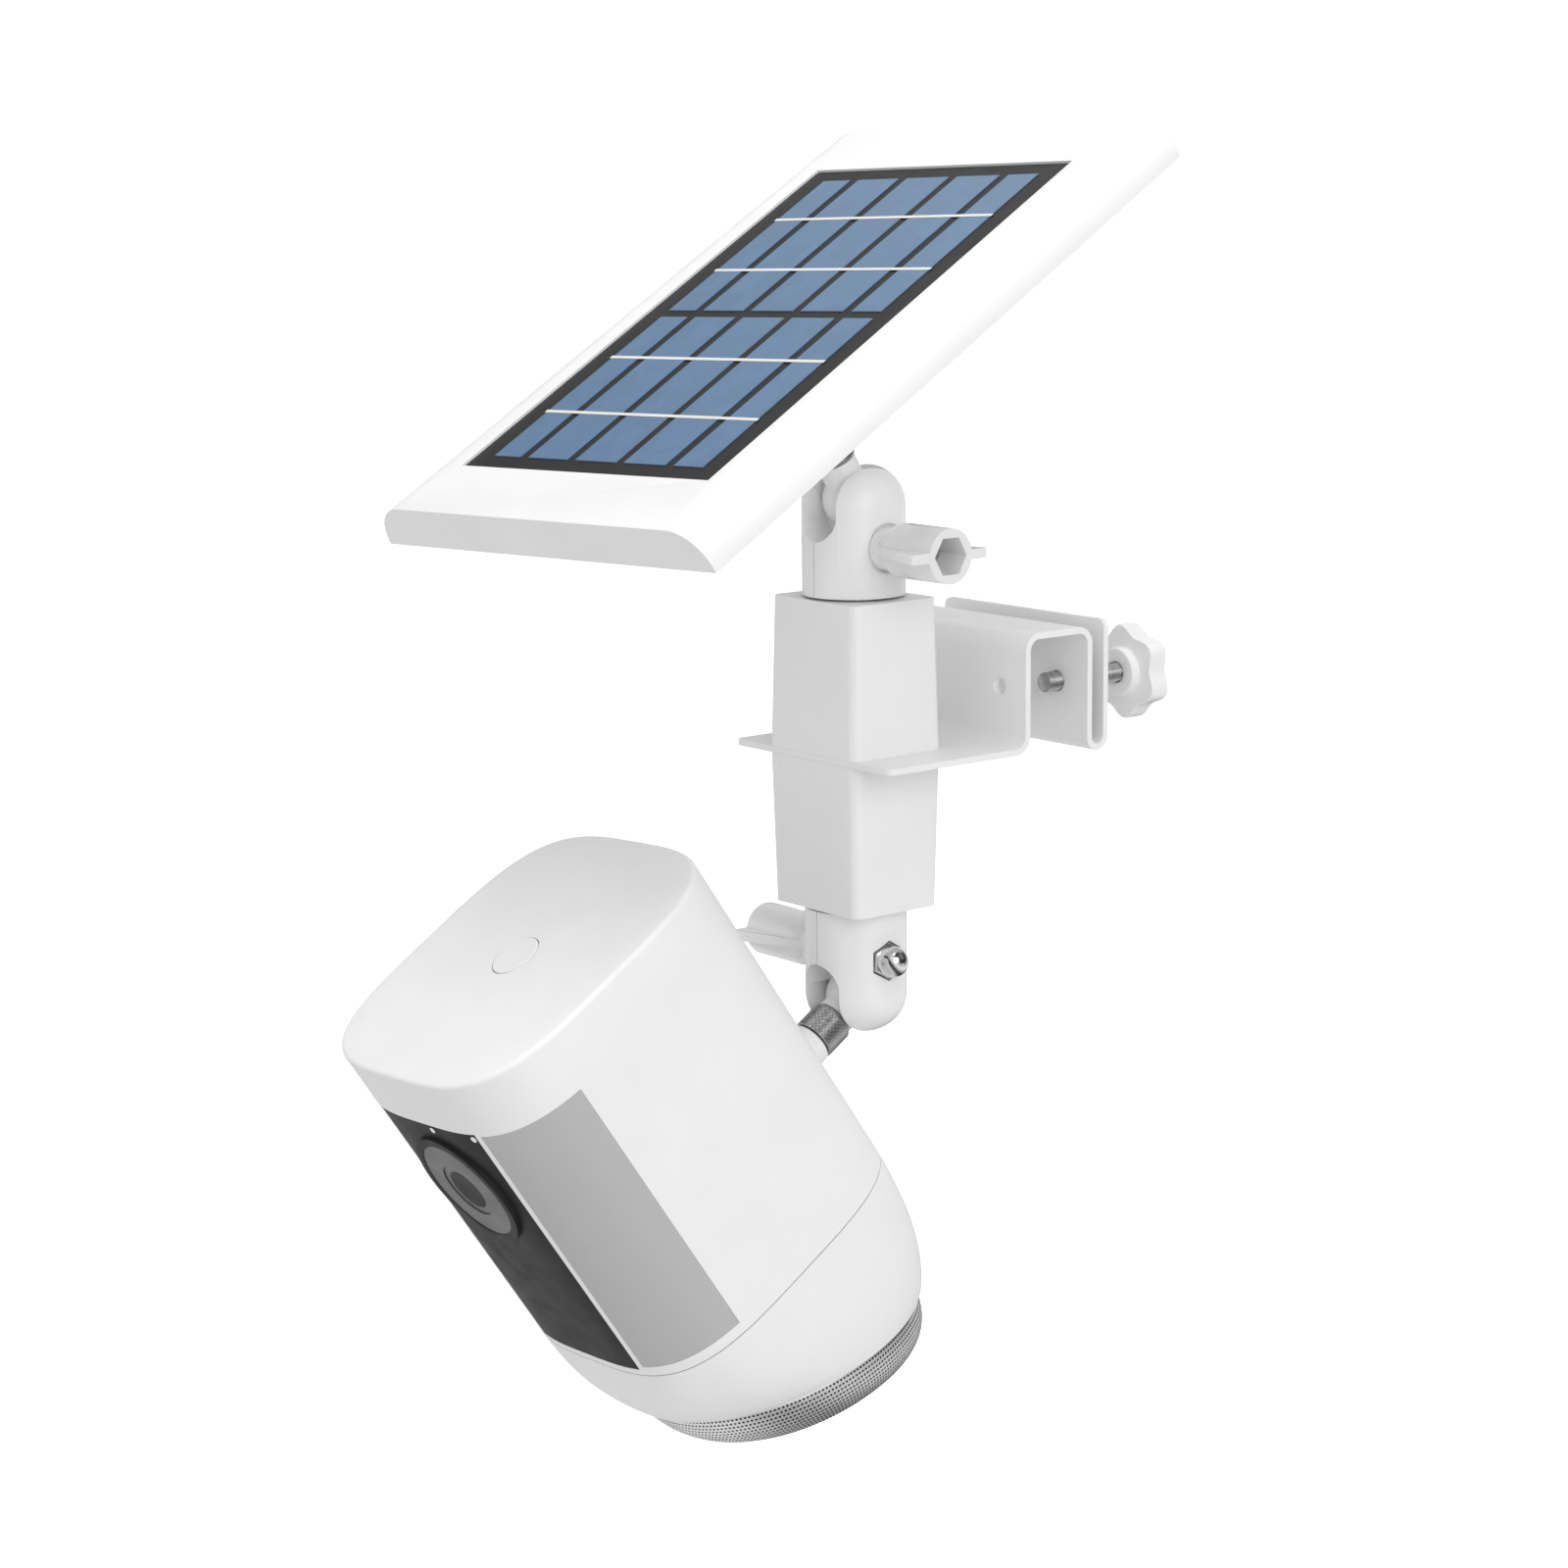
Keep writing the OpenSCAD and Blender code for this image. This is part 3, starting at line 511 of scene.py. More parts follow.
def softened(node, width, segments=2, angle=35):
    """A copy of a CAD node with its flat faces joined up and its sharp edges rounded."""
    mesh = NODES[node].data.copy()
    piece = bpy.data.objects.new(node + "_finished", mesh)
    bpy.context.scene.collection.objects.link(piece)
    bm = bmesh.new()
    bm.from_mesh(mesh)
    bmesh.ops.remove_doubles(bm, verts=bm.verts, dist=2e-6)
    bmesh.ops.dissolve_limit(bm, angle_limit=math.radians(0.4), verts=bm.verts, edges=bm.edges)
    bm.to_mesh(mesh)
    bm.free()
    mesh.shade_smooth()
    mesh.set_sharp_from_angle(angle=math.radians(angle))
    add_bevel(piece, width, segments, angle)
    dress(piece, body_of(node), SLOT_OF[node], (node,))


def repaint(*nodes):
    """Gives CAD nodes whose shape is right their finish."""
    for node in nodes:
        data = NODES[node].data
        data.materials.clear()
        data.materials.append(finish_of(SLOT_OF[node]))


def ring_faces(rings, count):
    """Quads between closed rings of points that are listed one after another."""
    return [(j*count + i, j*count + (i + 1) % count, (j + 1)*count + (i + 1) % count, (j + 1)*count + i)
            for j in range(rings - 1) for i in range(count)]


def lathe(name, profile, matrix, count=96):
    """Turns a profile of (radius, height) points that starts and ends on the axis."""
    verts = [(r*math.cos(2*math.pi*i/count), r*math.sin(2*math.pi*i/count), z)
             for r, z in profile for i in range(count)]
    piece = new_piece(name, verts, ring_faces(len(profile), count), matrix)
    clean(piece)
    piece.data.set_sharp_from_angle(angle=math.radians(38))
    return piece


def arc(cx, cz, radius, start, end, steps=6):
    """Points of a round stretch of a profile, its angles in degrees."""
    turns = [math.radians(start + (end - start)*i/steps) for i in range(steps + 1)]
    return [(cx + radius*math.cos(a), cz + radius*math.sin(a)) for a in turns]


# ---- geometry nodes ----

class Tree:
    """A small helper that builds one geometry node tree."""

    def __init__(self, name):
        self.group = bpy.data.node_groups.new(name, "GeometryNodeTree")
        self.group.interface.new_socket("Geometry", in_out="INPUT", socket_type="NodeSocketGeometry")
        self.group.interface.new_socket("Geometry", in_out="OUTPUT", socket_type="NodeSocketGeometry")
        self.inputs = self.group.nodes.new("NodeGroupInput")
        self.output = self.group.nodes.new("NodeGroupOutput")

    def socket(self, name, kind, default):
        """Adds a named input."""
        item = self.group.interface.new_socket(name, in_out="INPUT", socket_type="NodeSocket" + kind)
        item.default_value = default

    def add(self, kind, links=None, values=None, **options):
        """Adds a node with its links and values."""
        node = self.group.nodes.new(kind)
        for key, value in options.items():
            setattr(node, key, value)
        for key, value in (values or {}).items():
            node.inputs[key].default_value = value
        for key, source in (links or {}).items():
            self.group.links.new(source, node.inputs[key])
        return node

    def maths(self, operation, first, second=None):
        """One step of arithmetic between sockets or numbers."""
        node = self.group.nodes.new("ShaderNodeMath")
        node.operation = operation
        for index, value in enumerate([first, second]):
            if value is None:
                continue
            if isinstance(value, (int, float)):
                node.inputs[index].default_value = value
            else:
                self.group.links.new(value, node.inputs[index])
        return node.outputs[0]

    def finish(self, geometry, material):
        """Ends the tree in real, painted geometry."""
        real = self.add("GeometryNodeRealizeInstances", {"Geometry": geometry})
        painted = self.add("GeometryNodeSetMaterial", {"Geometry": real.outputs["Geometry"]})
        painted.inputs["Material"].default_value = material
        self.group.links.new(painted.outputs["Geometry"], self.output.inputs["Geometry"])
        return self.group


def run_tree(piece, group, values):
    """Sets a tree's inputs by identifier, evaluates it and keeps the plain mesh."""
    modifier = piece.modifiers.new("Build", "NODES")
    modifier.node_group = group
    for item in group.interface.items_tree:
        if item.in_out == "INPUT" and item.name in values:
            modifier[item.identifier] = values[item.name]
    apply_all(piece)


def thread_tree(material):
    """A threaded rod along Z: a cylinder whose wall follows a helix."""
    tree = Tree("threaded_rod")
    tree.socket("Radius", "Float", 0.0025)
    tree.socket("Length", "Float", 0.03)
    tree.socket("Pitch", "Float", 0.0008)
    tree.socket("Depth", "Float", 0.0004)
    group_in = tree.inputs.outputs
    steps = tree.maths("MULTIPLY", tree.maths("DIVIDE", group_in["Length"], group_in["Pitch"]), 8.0)
    rod = tree.add("GeometryNodeMeshCylinder", {"Radius": group_in["Radius"], "Depth": group_in["Length"],
                                                "Side Segments": steps}, {"Vertices": 36})
    place = tree.add("ShaderNodeSeparateXYZ", {"Vector": tree.add("GeometryNodeInputPosition").outputs[0]})
    around = tree.maths("DIVIDE", tree.maths("ARCTAN2", place.outputs["Y"], place.outputs["X"]), 2*math.pi)
    along = tree.maths("DIVIDE", place.outputs["Z"], group_in["Pitch"])
    phase = tree.maths("FRACT", tree.maths("SUBTRACT", along, around))
    tooth = tree.maths("ABSOLUTE", tree.maths("SUBTRACT", tree.maths("MULTIPLY", phase, 2.0), 1.0))
    cut = tree.maths("DIVIDE", tree.maths("MULTIPLY", tooth, group_in["Depth"]), group_in["Radius"])
    keep = tree.maths("SUBTRACT", 1.0, cut)
    moved = tree.add("ShaderNodeCombineXYZ", {"X": tree.maths("MULTIPLY", place.outputs["X"], keep),
                                              "Y": tree.maths("MULTIPLY", place.outputs["Y"], keep),
                                              "Z": place.outputs["Z"]})
    wall = tree.add("GeometryNodeSetPosition",
                    {"Geometry": rod.outputs["Mesh"], "Position": moved.outputs[0]})
    return tree.finish(wall.outputs["Geometry"], material)


def scatter_tree(name, material, sides, raised):
    """Sets one small shape on every point, square to its own facing."""
    tree = Tree(name)
    tree.socket("Radius", "Float", 0.0003)
    tree.socket("Height", "Float", 0.0002)
    group_in = tree.inputs.outputs
    facing = tree.add("GeometryNodeInputNamedAttribute", data_type="FLOAT_VECTOR")
    facing.inputs["Name"].default_value = "facing"
    turned = tree.add("FunctionNodeAlignRotationToVector", {"Vector": facing.outputs["Attribute"]}, axis="Z")
    if raised:
        sizes = {"Radius Bottom": group_in["Radius"], "Depth": group_in["Height"]}
        shape = tree.add("GeometryNodeMeshCone", sizes, {"Vertices": sides, "Radius Top": 0.0},
                         fill_type="NONE")
    else:
        shape = tree.add("GeometryNodeMeshCircle", {"Radius": group_in["Radius"]}, {"Vertices": sides},
                         fill_type="NGON")
    points = tree.add("GeometryNodeMeshToPoints", {"Mesh": group_in["Geometry"]})
    placed = tree.add("GeometryNodeInstanceOnPoints", {"Points": points.outputs["Points"],
                                                       "Instance": shape.outputs["Mesh"],
                                                       "Rotation": turned.outputs["Rotation"]})
    return tree.finish(placed.outputs["Instances"], material)


def scatter(name, places, group, values, matrix):
    """Runs a scatter tree over a list of (point, facing)."""
    piece = new_piece(name, [p for p, _ in places], [], smooth=False)
    attribute = piece.data.attributes.new("facing", "FLOAT_VECTOR", "POINT")
    for index, (_, facing) in enumerate(places):
        attribute.data[index].vector = facing
    run_tree(piece, group, values)
    piece.data.transform(matrix)
    return piece


# ---- the body outline ----

def outline_radius(angle, w, d, n):
    """Distance from the middle to a rounded-square outline at an angle."""
    return (abs(math.cos(angle)/(w/2))**n + abs(math.sin(angle)/(d/2))**n)**(-1/n)


def outline(angles, w, d, n):
    """Points of a rounded-square outline at some angles."""
    return [(outline_radius(a, w, d, n)*math.cos(a), outline_radius(a, w, d, n)*math.sin(a)) for a in angles]


def front_angle(x):
    """Angle at which the front of the body is at a width, 0 along +X."""
    y = -BODY_D/2*(1 - abs(2*x/BODY_W)**BODY_N)**(1/BODY_N)
    return math.atan2(y, x) % (2*math.pi)


def side_angle(side, y):
    """Angle at which a side of the body is at a depth."""
    x = side*BODY_W/2*(1 - abs(2*y/BODY_D)**BODY_N)**(1/BODY_N)
    return math.atan2(y, x) % (2*math.pi)


def openings(gap=0.0):
    """Window and light openings: (first angle, last angle, bottom, top)."""
    b = settings("body")
    window_x = b.window_w/2 - gap
    light_y = -(b.light_side + gap)
    light_x = b.light_in + gap
    window_z = (-b.window_top - b.window_h + gap, -b.window_top - gap)
    light_z = (-b.light_top - b.light_h + gap, -b.light_top - gap)
    return {
        "window": (front_angle(-window_x), front_angle(window_x), *window_z),
        "left": (side_angle(-1, light_y), front_angle(-light_x), *light_z),
        "right": (front_angle(light_x), side_angle(1, light_y), *light_z),
    }


def columns(exact, count=200):
    """Evenly spaced angles round the body with some exact ones put in."""
    step = 2*math.pi/count
    even = [i*step for i in range(count)]
    kept = [a for a in even if all(abs(a - e) > 0.45*step for e in exact)]
    return sorted(kept + list(exact))


def housing_mesh():
    """The open shell of the camera body, top edge rounded, openings left out."""
    b = settings("body")
    holes = openings()
    exact = [a for hole in holes.values() for a in hole[:2]]
    angles = columns(exact)
    count = len(angles)
    heights = sorted({-HOUSING_H, -HOUSING_H + SEAM_LIP, *[z for hole in holes.values() for z in hole[2:]]})
    rings = [(outline(angles, BODY_W, BODY_D, BODY_N), z) for z in heights]
    r = b.edge_r
    for i in range(6):
        a = math.pi/2*i/5
        inset = 2*r*(1 - math.cos(a))
        rings.append((outline(angles, BODY_W - inset, BODY_D - inset, BODY_N), -r + r*math.sin(a)))
    inset = 2*r
    flat = outline(angles, BODY_W - inset, BODY_D - inset, BODY_N)
    circle = [(BUTTON_HOLE_R*math.cos(a), BUTTON_HOLE_R*math.sin(a)) for a in angles]
    for i in range(1, 9):
        t = i/8
        rings.append(([(p[0]*(1 - t) + c[0]*t, p[1]*(1 - t) + c[1]*t) for p, c in zip(flat, circle)], 0))
    verts = [(p[0], p[1], z) for ring, z in rings for p in ring]
    faces = []
    for j in range(len(rings) - 1):
        for i in range(count):
            if j + 1 < len(heights) and in_opening(holes, angles[i], angles[(i + 1) % count],
                                                   heights[j], heights[j + 1]):
                continue
            faces.append((j*count + i, j*count + (i + 1) % count,
                          (j + 1)*count + (i + 1) % count, (j + 1)*count + i))
    return verts, faces


def in_opening(holes, first, last, low, high):
    """Whether a patch of the wall lies in one of the openings."""
    if last < first:
        return False
    middle = (first + last)/2
    for a0, a1, z0, z1 in holes.values():
        if a0 < middle < a1 and z0 - 1e-7 <= low and high <= z1 + 1e-7:
            return True
    return False


def pane(name, limits, steps=40, rows=12):
    """A curved pane that fills one of the openings."""
    a0, a1, z0, z1 = limits
    angles = [a0 + (a1 - a0)*i/steps for i in range(steps + 1)]
    line = outline(angles, BODY_W - 2*PANE_INSET, BODY_D - 2*PANE_INSET, BODY_N)
    verts = [(p[0], p[1], z0 + (z1 - z0)*j/rows) for j in range(rows + 1) for p in line]
    width = steps + 1
    faces = [(j*width + i, j*width + i + 1, (j + 1)*width + i + 1, (j + 1)*width + i)
             for j in range(rows) for i in range(steps)]
    piece = new_piece(name, verts, faces, CAMERA)
    add_thickness(piece, PANE_T)
    add_bevel(piece, 0.05*MM, 2, 50)
    return piece


def cap_ring(angles, t):
    """Outline of the battery cap, t from 0 at the seam to 1 at its slanted end."""
    c = settings("cap")
    lean = t**1.5
    shrink = 2*c.inset*t**3.3
    depth = HOUSING_H + CAP_GAP + (c.end - HOUSING_H - CAP_GAP)*t
    line = outline(angles, BODY_W - shrink, BODY_D - shrink, BODY_N + (END_N - BODY_N)*lean)
    return [(x, y, -depth - CAP_SLOPE*lean*y) for x, y in line]


def end_ring(angles, inset, drop):
    """Outline at or below the cap's slanted end."""
    c = settings("cap")
    line = outline(angles, BODY_W - 2*inset, BODY_D - 2*inset, END_N)
    return [(x, y, -c.end - drop - CAP_SLOPE*y) for x, y in line]


def bowl_point(angle, turn, out=0.0):
    """A point of the grille's wall, turn from 0 at its rim to 90 degrees at its flat end."""
    c = settings("cap")
    inset = c.inset + c.rim + c.close*(1 - math.cos(turn)) - out*math.cos(turn)
    return Vector(end_ring([angle], inset, (c.bowl + out)*math.sin(turn))[0])


# ---- operators ----

class Piece(bpy.types.Operator):
    """Base of the operators that make pieces."""

    bl_options = {"REGISTER", "UNDO"}


class SOLARCAM_OT_bracket(Piece):
    """Folded sheet bracket with powder-coated, softened edges."""

    bl_idname = "solarcam.bracket"
    bl_label = "Gutter bracket"

    def execute(self, context):
        softened("gutter_bracket", 0.15*MM, 2, 40)
        return {"FINISHED"}


class SOLARCAM_OT_blocks(Piece):
    """Tapered blocks above and below the plate."""

    bl_idname = "solarcam.blocks"
    bl_label = "Blocks"

    def execute(self, context):
        for side in ("upper", "lower"):
            softened(side + "_block", 0.25*MM, 2, 40)
        repaint("tie_stud")
        return {"FINISHED"}


class SOLARCAM_OT_ball_joints(Piece):
    """Split sockets, ball stems, studs and washers."""

    bl_idname = "solarcam.ball_joints"
    bl_label = "Ball joints"

    def execute(self, context):
        for side in ("upper", "lower"):
            softened(side + "_socket_knob_half", 0.35*MM, 3, 40)
            softened(side + "_socket_nut_half", 0.35*MM, 3, 40)
            softened(side + "_ball_stem", 0.3*MM, 2, 50)
            repaint(side + "_swivel_stud", side + "_washer")
        return {"FINISHED"}


class SOLARCAM_OT_lock_nuts(Piece):
    """Knurled lock nuts on the two stems."""

    bl_idname = "solarcam.lock_nuts"
    bl_label = "Lock nuts"

    def execute(self, context):
        h = settings("hardware")
        group = scatter_tree("knurl", finish_of("zinc_steel"), 4, True)
        for side, stem in (("upper", UPPER_STEM), ("lower", LOWER_STEM)):
            node = side + "_lock_nut"
            softened(node, 0.25*MM, 2)
            low, high = extent(node, stem)
            radius = (high.x - low.x)/2 - KNURL_SINK
            pitch = 2*math.pi*radius/h.knurl_count
            rows = h.knurl_rows
            start = low.z + KNURL_START
            step = (high.z - low.z - KNURL_START - KNURL_END)/(rows - 1)
            places = []
            for row in range(rows):
                for i in range(h.knurl_count):
                    a = 2*math.pi*(i + 0.5*(row % 2))/h.knurl_count
                    facing = Vector((math.cos(a), math.sin(a), 0))
                    places.append((facing*radius + Vector((0, 0, start + row*step)), facing))
            values = {"Radius": pitch*KNURL_FILL, "Height": h.knurl_h}
            knurl = scatter(side + "_lock_nut_knurl", places, group, values, stem)
            dress(knurl, body_of(node), "zinc_steel")
        return {"FINISHED"}


class SOLARCAM_OT_knobs(Piece):
    """Wing knobs, star knobs and acorn nuts."""

    bl_idname = "solarcam.knobs"
    bl_label = "Knobs and acorn nuts"

    def execute(self, context):
        for side in ("upper", "lower"):
            softened(side + "_wing_knob", 0.3*MM, 3, 30)
            softened(side + "_acorn_nut", 0.15*MM, 2, 30)
            repaint(side + "_clamp_bolt")
        for side in ("left", "right"):
            softened(side + "_star_knob", 0.5*MM, 3, 50)
        return {"FINISHED"}


class SOLARCAM_OT_side_screws(Piece):
    """Threaded side screws."""

    bl_idname = "solarcam.side_screws"
    bl_label = "Side screws"

    def execute(self, context):
        h = settings("hardware")
        group = thread_tree(finish_of("zinc_steel"))
        for side in ("left", "right"):
            node = side + "_side_screw"
            low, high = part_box(node)
            length = high.y - low.y
            piece = new_piece(side + "_threaded_screw", [(0, 0, 0)], [])
            run_tree(piece, group, {"Radius": (high.x - low.x)/2, "Length": length,
                                    "Pitch": h.thread_pitch, "Depth": h.thread_depth})
            middle = (low + high)/2
            piece.data.transform(Matrix.Translation(middle) @ Matrix.Rotation(math.radians(-90), 4, "X"))
            piece.data.shade_smooth()
            piece.data.set_sharp_from_angle(angle=math.radians(50))
            dress(piece, body_of(node), "zinc_steel", (node,))
        return {"FINISHED"}


class SOLARCAM_OT_panel(Piece):
    """Solar panel: frame, covers, laminate, cells and ribbons."""

    bl_idname = "solarcam.panel"
    bl_label = "Solar panel"

    def execute(self, context):
        softened("panel_frame", 0.35*MM, 3, 40)
        softened("panel_back_cover", 0.3*MM, 2)
        softened("junction_box", 0.5*MM, 2, 45)
        softened("panel_screws", 0.2*MM, 2)
        softened("cable_gland", 0.4*MM, 2)
        repaint("panel_backing", "solar_cells", "bus_ribbons", "panel_insert", "charge_board")
        return {"FINISHED"}


class SOLARCAM_OT_housing(Piece):
    """Camera body shell with its openings, and the boss on its back."""

    bl_idname = "solarcam.housing"
    bl_label = "Camera housing"

    def execute(self, context):
        verts, faces = housing_mesh()
        piece = new_piece("camera_shell", verts, faces, CAMERA)
        add_thickness(piece, WALL)
        add_bevel(piece, 0.15*MM, 2, 50)
        dress(piece, "camera", "white_shell", ("camera_housing",))
        softened("mount_boss", 0.3*MM, 2)
        softened("power_inlet", 0.3*MM, 2)
        repaint("boss_insert")
        return {"FINISHED"}


class SOLARCAM_OT_front(Piece):
    """Dark window, light panes, lens and status dots."""

    bl_idname = "solarcam.front"
    bl_label = "Window, lights and lens"

    def execute(self, context):
        b = settings("body")
        limits = openings(b.seam)
        window = pane("smoked_window", limits["window"])
        dress(window, "camera", "window", ("front_window",))
        for side in ("left", "right"):
            light = pane(side + "_light_pane", limits[side])
            dress(light, "camera", "diffuser", (side + "_light_diffuser",))
        self.make_lens(b)
        softened("status_lights", 0.05*MM, 2)
        return {"FINISHED"}

    def make_lens(self, b):
        """Low dark ring, grey lens face with a shallow recess, and the pupil."""
        low, high = extent("lens_bezel", CAMERA)
        ring_r = (high.x - low.x)/2 - 0.5*MM
        place = Matrix.Translation((0, low.y, -b.lens_drop))
        middle = CAMERA @ place @ Matrix.Rotation(math.radians(90), 4, "X")
        glass_r = 13.5*MM
        recess_r = 7.5*MM
        pupil_r = 5.5*MM
        face = -0.9*MM
        front = face + 0.15*MM
        seat = face - 0.8*MM
        back = -5.4*MM
        ring = [(0, back), (ring_r, back), *arc(ring_r - 0.15*MM, front - 0.15*MM, 0.15*MM, 0, 90),
                *arc(glass_r + 0.2*MM, front - 0.1*MM, 0.1*MM, 90, 180), (glass_r + 0.1*MM, seat), (0, seat)]
        bezel = lathe("lens_ring", ring, middle)
        dress(bezel, "camera", "window", ("lens_bezel",))
        under = face - 0.75*MM
        recess = face - 0.3*MM
        plate = [(0, under), (glass_r, under), (glass_r, face), (recess_r, face),
                 (recess_r, recess), (0, recess)]
        glass = lathe("lens_face", plate, middle)
        dress(glass, "camera", "lens_glass", ("lens_glass",))
        low_side = recess - 0.05*MM
        high_side = recess + 0.04*MM
        disc = [(0, low_side), (pupil_r, low_side), (pupil_r, high_side), (0, high_side)]
        pupil = lathe("lens_pupil", disc, middle)
        dress(pupil, "camera", "black_plastic")


class SOLARCAM_OT_button(Piece):
    """Setup button in the top face."""

    bl_idname = "solarcam.button"
    bl_label = "Setup button"

    def execute(self, context):
        low, high = extent("setup_button", CAMERA)
        radius = 6.0*MM
        flange = (high.x - low.x)/2
        top = high.z
        profile = [(0, low.z), (flange, low.z), (flange, low.z + 1.5*MM), (radius, low.z + 1.7*MM),
                   *arc(radius - 0.25*MM, top - 0.25*MM, 0.25*MM, 0, 90), (radius*0.7, top - 0.08*MM),
                   (radius*0.3, top - 0.12*MM), (0, top - 0.12*MM)]
        middle = CAMERA @ Matrix.Translation(((low.x + high.x)/2, (low.y + high.y)/2, 0))
        piece = lathe("setup_button_cap", profile, middle)
        dress(piece, "button", "white_shell", ("setup_button",))
        return {"FINISHED"}


class SOLARCAM_OT_battery_cap(Piece):
    """Battery cap with its rounded, slanted end."""

    bl_idname = "solarcam.battery_cap"
    bl_label = "Battery cap"

    def execute(self, context):
        c = settings("cap")
        angles = columns(())
        rings = [cap_ring(angles, t/20) for t in range(20)]
        for i in range(5):
            a = math.pi/2*i/4
            inset = c.inset + CAP_EDGE*(1 - math.cos(a)) - 0.1*MM
            rings.append(end_ring(angles, inset, CAP_EDGE*(math.sin(a) - 1)))
        for t in (0.75, 0.4, 0.1):
            rings.append(end_ring(angles, BODY_W/2*(1 - t) + c.inset*t, 0))
        rings.reverse()
        verts = [p for ring in rings for p in ring]
        faces = [tuple(reversed(range(len(angles))))] + ring_faces(len(rings), len(angles))
        piece = new_piece("battery_cap_shell", verts, faces, CAMERA)
        add_thickness(piece, WALL)
        add_bevel(piece, 0.15*MM, 2, 60)
        dress(piece, "cap", "white_shell", ("battery_cap",))
        softened("cap_screw", 0.2*MM, 2)
        return {"FINISHED"}


class SOLARCAM_OT_grille(Piece):
    """Speaker grille: a shallow bowl of fine sheet, its holes drawn as dark discs of painted shade."""

    bl_idname = "solarcam.grille"
    bl_label = "Speaker grille"

    def execute(self, context):
        c = settings("cap")
        angles = columns(())
        steps = 14
        rings = [[tuple(bowl_point(a, math.pi/2*i/steps)) for a in angles] for i in range(steps + 1)]
        flat_inset = c.inset + c.rim + c.close
        for t in (0.7, 0.35, 0.08):
            rings.append(end_ring(angles, BODY_W/2*(1 - t) + flat_inset*t, c.bowl))
        rings.reverse()
        verts = [p for ring in rings for p in ring]
        faces = [tuple(reversed(range(len(angles))))] + ring_faces(len(rings), len(angles))
        piece = new_piece("grille_sheet", verts, faces, CAMERA)
        add_thickness(piece, GRILLE_T)
        dress(piece, "cap", "grille", ("speaker_grille",))
        # The holes are not cut through the sheet: dark discs set just above it are painted shade for the
        # inside of each hole.
        group = scatter_tree("painted_hole_shade_discs", finish_of("black_plastic"), 6, False)
        holes = scatter("grille_painted_hole_shade", self.hole_shade_places(c), group, {"Radius": c.hole}, CAMERA)
        dress(holes, "cap", "black_plastic")
        return {"FINISHED"}

    def hole_shade_places(self, c):
        """Places of the dark discs of painted shade that stand for the holes: rows down the wall of the bowl
        and a square grid on its flat end.
        """
        out = HOLE_SHADE_LIFT
        count = int(2*math.pi*GRILLE_R/c.pitch)
        places = []
        for row in range(1, GRILLE_ROWS):
            turn = math.pi/2*row/GRILLE_ROWS
            for i in range(count):
                a = 2*math.pi*(i + 0.5)/count
                point = bowl_point(a, turn, out)
                along = bowl_point(a, turn + 0.01, out) - point
                around = bowl_point(a + 0.01, turn, out) - point
                places.append((point, along.cross(around).normalized()))
        flat_w = BODY_W/2 - c.inset - c.rim - c.close
        flat_d = BODY_D/2 - c.inset - c.rim - c.close
        facing = Vector((0, -CAP_SLOPE, -1)).normalized()
        for i in range(int(-flat_w/c.pitch), int(flat_w/c.pitch) + 1):
            for j in range(int(-flat_d/c.pitch), int(flat_d/c.pitch) + 1):
                x, y = i*c.pitch, j*c.pitch
                if (x/flat_w)**2 + (y/flat_d)**2 < 0.96:
                    places.append((Vector((x, y, -c.end - c.bowl - CAP_SLOPE*y)) + facing*out, facing))
        return places


class SOLARCAM_OT_inside(Piece):
    """Boards, battery, speaker and sensors inside the camera."""

    bl_idname = "solarcam.inside"
    bl_label = "Inside parts"

    def execute(self, context):
        repaint("lens_barrel", "sensor_board", "main_board", "left_led_board", "right_led_board",
                "motion_sensor", "battery_pack", "speaker")
        return {"FINISHED"}


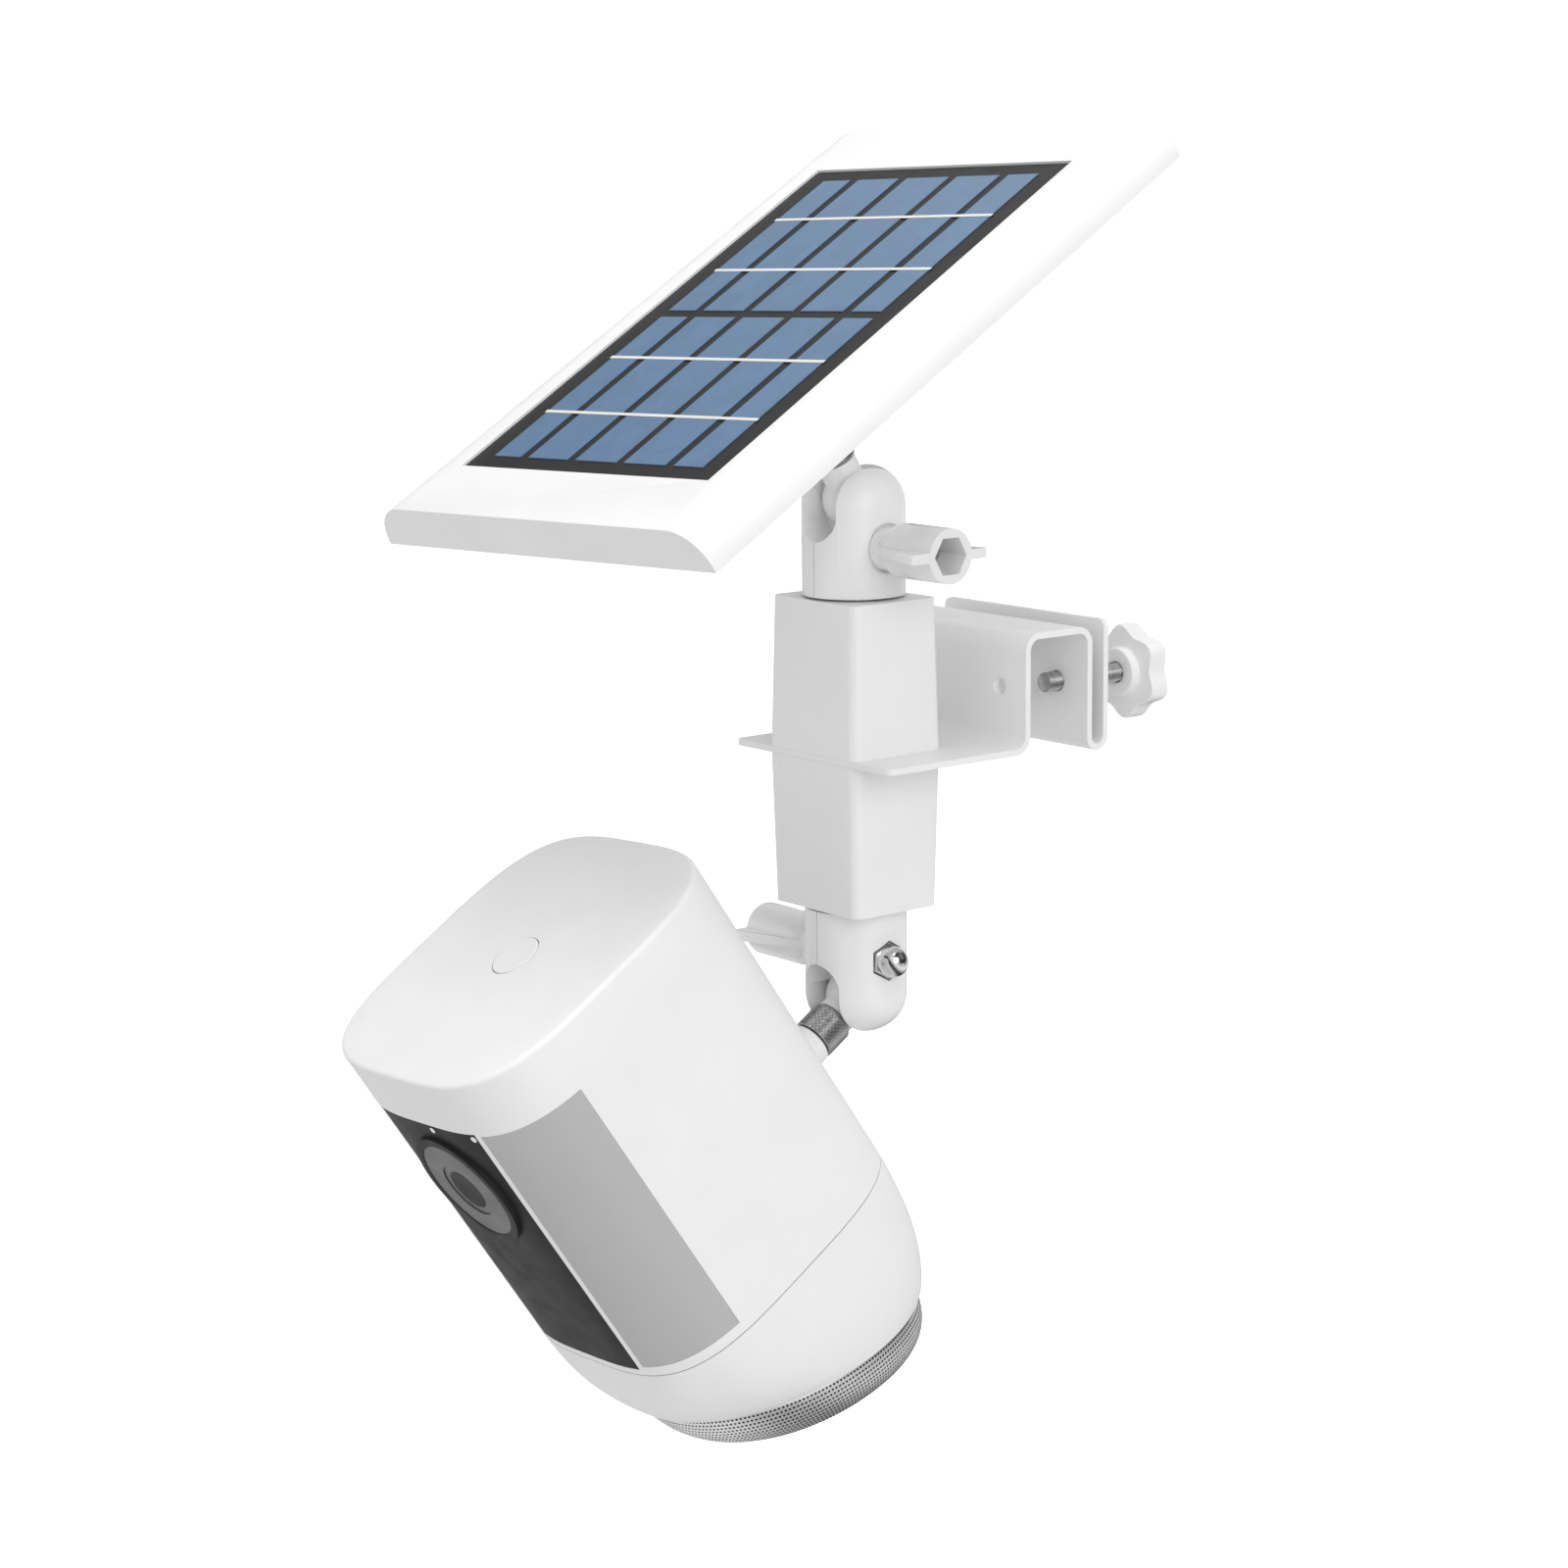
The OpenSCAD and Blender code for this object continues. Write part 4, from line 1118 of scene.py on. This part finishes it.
class SOLARCAM_OT_stage(Piece):
    """Pale floor, soft light and the view."""

    bl_idname = "solarcam.stage"
    bl_label = "Stage"

    def execute(self, context):
        s = settings("stage")
        self.make_camera(s)
        self.make_floor(s)
        self.make_light()
        return {"FINISHED"}

    def make_camera(self, s):
        """The view, aimed as a product picture of the blocks' axis."""
        right = Vector((math.cos(s.azimuth), math.sin(s.azimuth), 0))
        back = Vector((math.sin(s.azimuth)*math.cos(s.elevation),
                       -math.cos(s.azimuth)*math.cos(s.elevation), math.sin(s.elevation)))
        up = back.cross(right)
        x = right*math.cos(s.roll) + up*math.sin(s.roll)
        y = up*math.cos(s.roll) - right*math.sin(s.roll)
        plate_low, plate_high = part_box("tie_stud")
        target = (plate_low + plate_high)/2
        data = bpy.data.cameras.new("view")
        data.lens = s.lens
        data.clip_start = 0.01
        view = bpy.data.objects.new("view", data)
        view.matrix_world = basis(x, y, back, target - x*s.right - y*s.up + back*s.distance)
        bpy.context.scene.collection.objects.link(view)
        bpy.context.scene.camera = view

    def make_floor(self, s):
        """A wide pale floor well below the object."""
        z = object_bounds()[0][2] - s.floor_drop
        half = 6.0
        corners = [(-half, -half, z), (half, -half, z), (half, half, z), (-half, half, z)]
        floor = new_piece("floor", corners, [(0, 1, 2, 3)], smooth=False)
        material, tree, shader = new_material("pale_floor", (0.9, 0.9, 0.9), 0.9)
        shader.inputs["Emission Color"].default_value = (1, 1, 1, 1)
        shader.inputs["Emission Strength"].default_value = 0.8
        tone(tree, shader, noise(tree, object_coords(tree), 0.5), (0.9, 0.9, 0.9), 0.005)
        floor.data.materials.append(material)
        floor.visible_diffuse = False
        floor.visible_glossy = False
        floor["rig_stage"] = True

    def make_light(self):
        """A white surround, a key from the right and a softer one from above."""
        world = bpy.data.worlds.new("surround")
        world.use_nodes = True
        tree = world.node_tree
        background = tree.nodes["Background"]
        background.inputs["Color"].default_value = (1, 1, 1, 1)
        path = tree.nodes.new("ShaderNodeLightPath")
        coords = tree.nodes.new("ShaderNodeTexCoord")
        bands = tree.nodes.new("ShaderNodeTexWave")
        bands.bands_direction = "DIAGONAL"
        bands.inputs["Scale"].default_value = 0.35
        bands.inputs["Phase Offset"].default_value = 1.2
        tree.links.new(coords.outputs["Generated"], bands.inputs["Vector"])
        mirrored = self.blend(tree, bands.outputs["Fac"], 0.03, 1.0)
        soft = self.blend(tree, path.outputs["Is Glossy Ray"], 0.74, mirrored)
        strength = self.blend(tree, path.outputs["Is Camera Ray"], soft, 1.1)
        tree.links.new(strength, background.inputs["Strength"])
        bpy.context.scene.world = world
        self.area("key", (1.3, -0.35, 0.5), 0.9, 6.0)
        self.area("top", (0.1, -0.2, 1.4), 1.0, 9.0)
        bpy.context.scene.view_settings.view_transform = "Standard"

    def blend(self, tree, factor, first, second):
        """Goes from one strength to another."""
        mix = tree.nodes.new("ShaderNodeMix")
        tree.links.new(factor, mix.inputs["Factor"])
        for key, value in (("A", first), ("B", second)):
            if isinstance(value, float):
                mix.inputs[key].default_value = value
            else:
                tree.links.new(value, mix.inputs[key])
        return mix.outputs["Result"]

    def area(self, name, place, width, power):
        """A square soft light aimed at the object."""
        data = bpy.data.lights.new(name, "AREA")
        data.size = width
        data.energy = power
        light = bpy.data.objects.new(name, data)
        light.location = place
        aim = Vector((0, -0.05, -0.03)) - Vector(place)
        light.rotation_euler = aim.to_track_quat("-Z", "Y").to_euler()
        bpy.context.scene.collection.objects.link(light)


OPERATORS = (
    SOLARCAM_OT_stage, SOLARCAM_OT_bracket, SOLARCAM_OT_blocks, SOLARCAM_OT_ball_joints,
    SOLARCAM_OT_lock_nuts, SOLARCAM_OT_knobs, SOLARCAM_OT_side_screws, SOLARCAM_OT_panel,
    SOLARCAM_OT_housing, SOLARCAM_OT_front, SOLARCAM_OT_button, SOLARCAM_OT_battery_cap,
    SOLARCAM_OT_grille, SOLARCAM_OT_inside,
)


class SOLARCAM_PT_panel(bpy.types.Panel):
    """Lists the pieces and their sizes."""

    bl_label = "Solar Camera"
    bl_idname = "SOLARCAM_PT_panel"
    bl_space_type = "VIEW_3D"
    bl_region_type = "UI"
    bl_category = "Solar Camera"

    def draw(self, context):
        for operator in OPERATORS:
            self.layout.operator(operator.bl_idname)
        for name, group in SETTINGS.items():
            box = self.layout.box()
            for key in group.__annotations__:
                box.prop(settings(name), key)


def register():
    """Registers the settings, the operators and the panel."""
    for name, group in SETTINGS.items():
        bpy.utils.register_class(group)
        setattr(bpy.types.Scene, "solar_camera_" + name, PointerProperty(type=group))
    for cls in (*OPERATORS, SOLARCAM_PT_panel):
        bpy.utils.register_class(cls)


def unregister():
    """Takes away what register added."""
    for cls in (SOLARCAM_PT_panel, *reversed(OPERATORS)):
        bpy.utils.unregister_class(cls)
    for name, group in SETTINGS.items():
        delattr(bpy.types.Scene, "solar_camera_" + name)
        bpy.utils.unregister_class(group)


def main():
    """Makes every piece in order."""
    register()
    for operator in OPERATORS:
        group, name = operator.bl_idname.split(".")
        getattr(getattr(bpy.ops, group), name)()


if __name__ == "__main__":
    main()
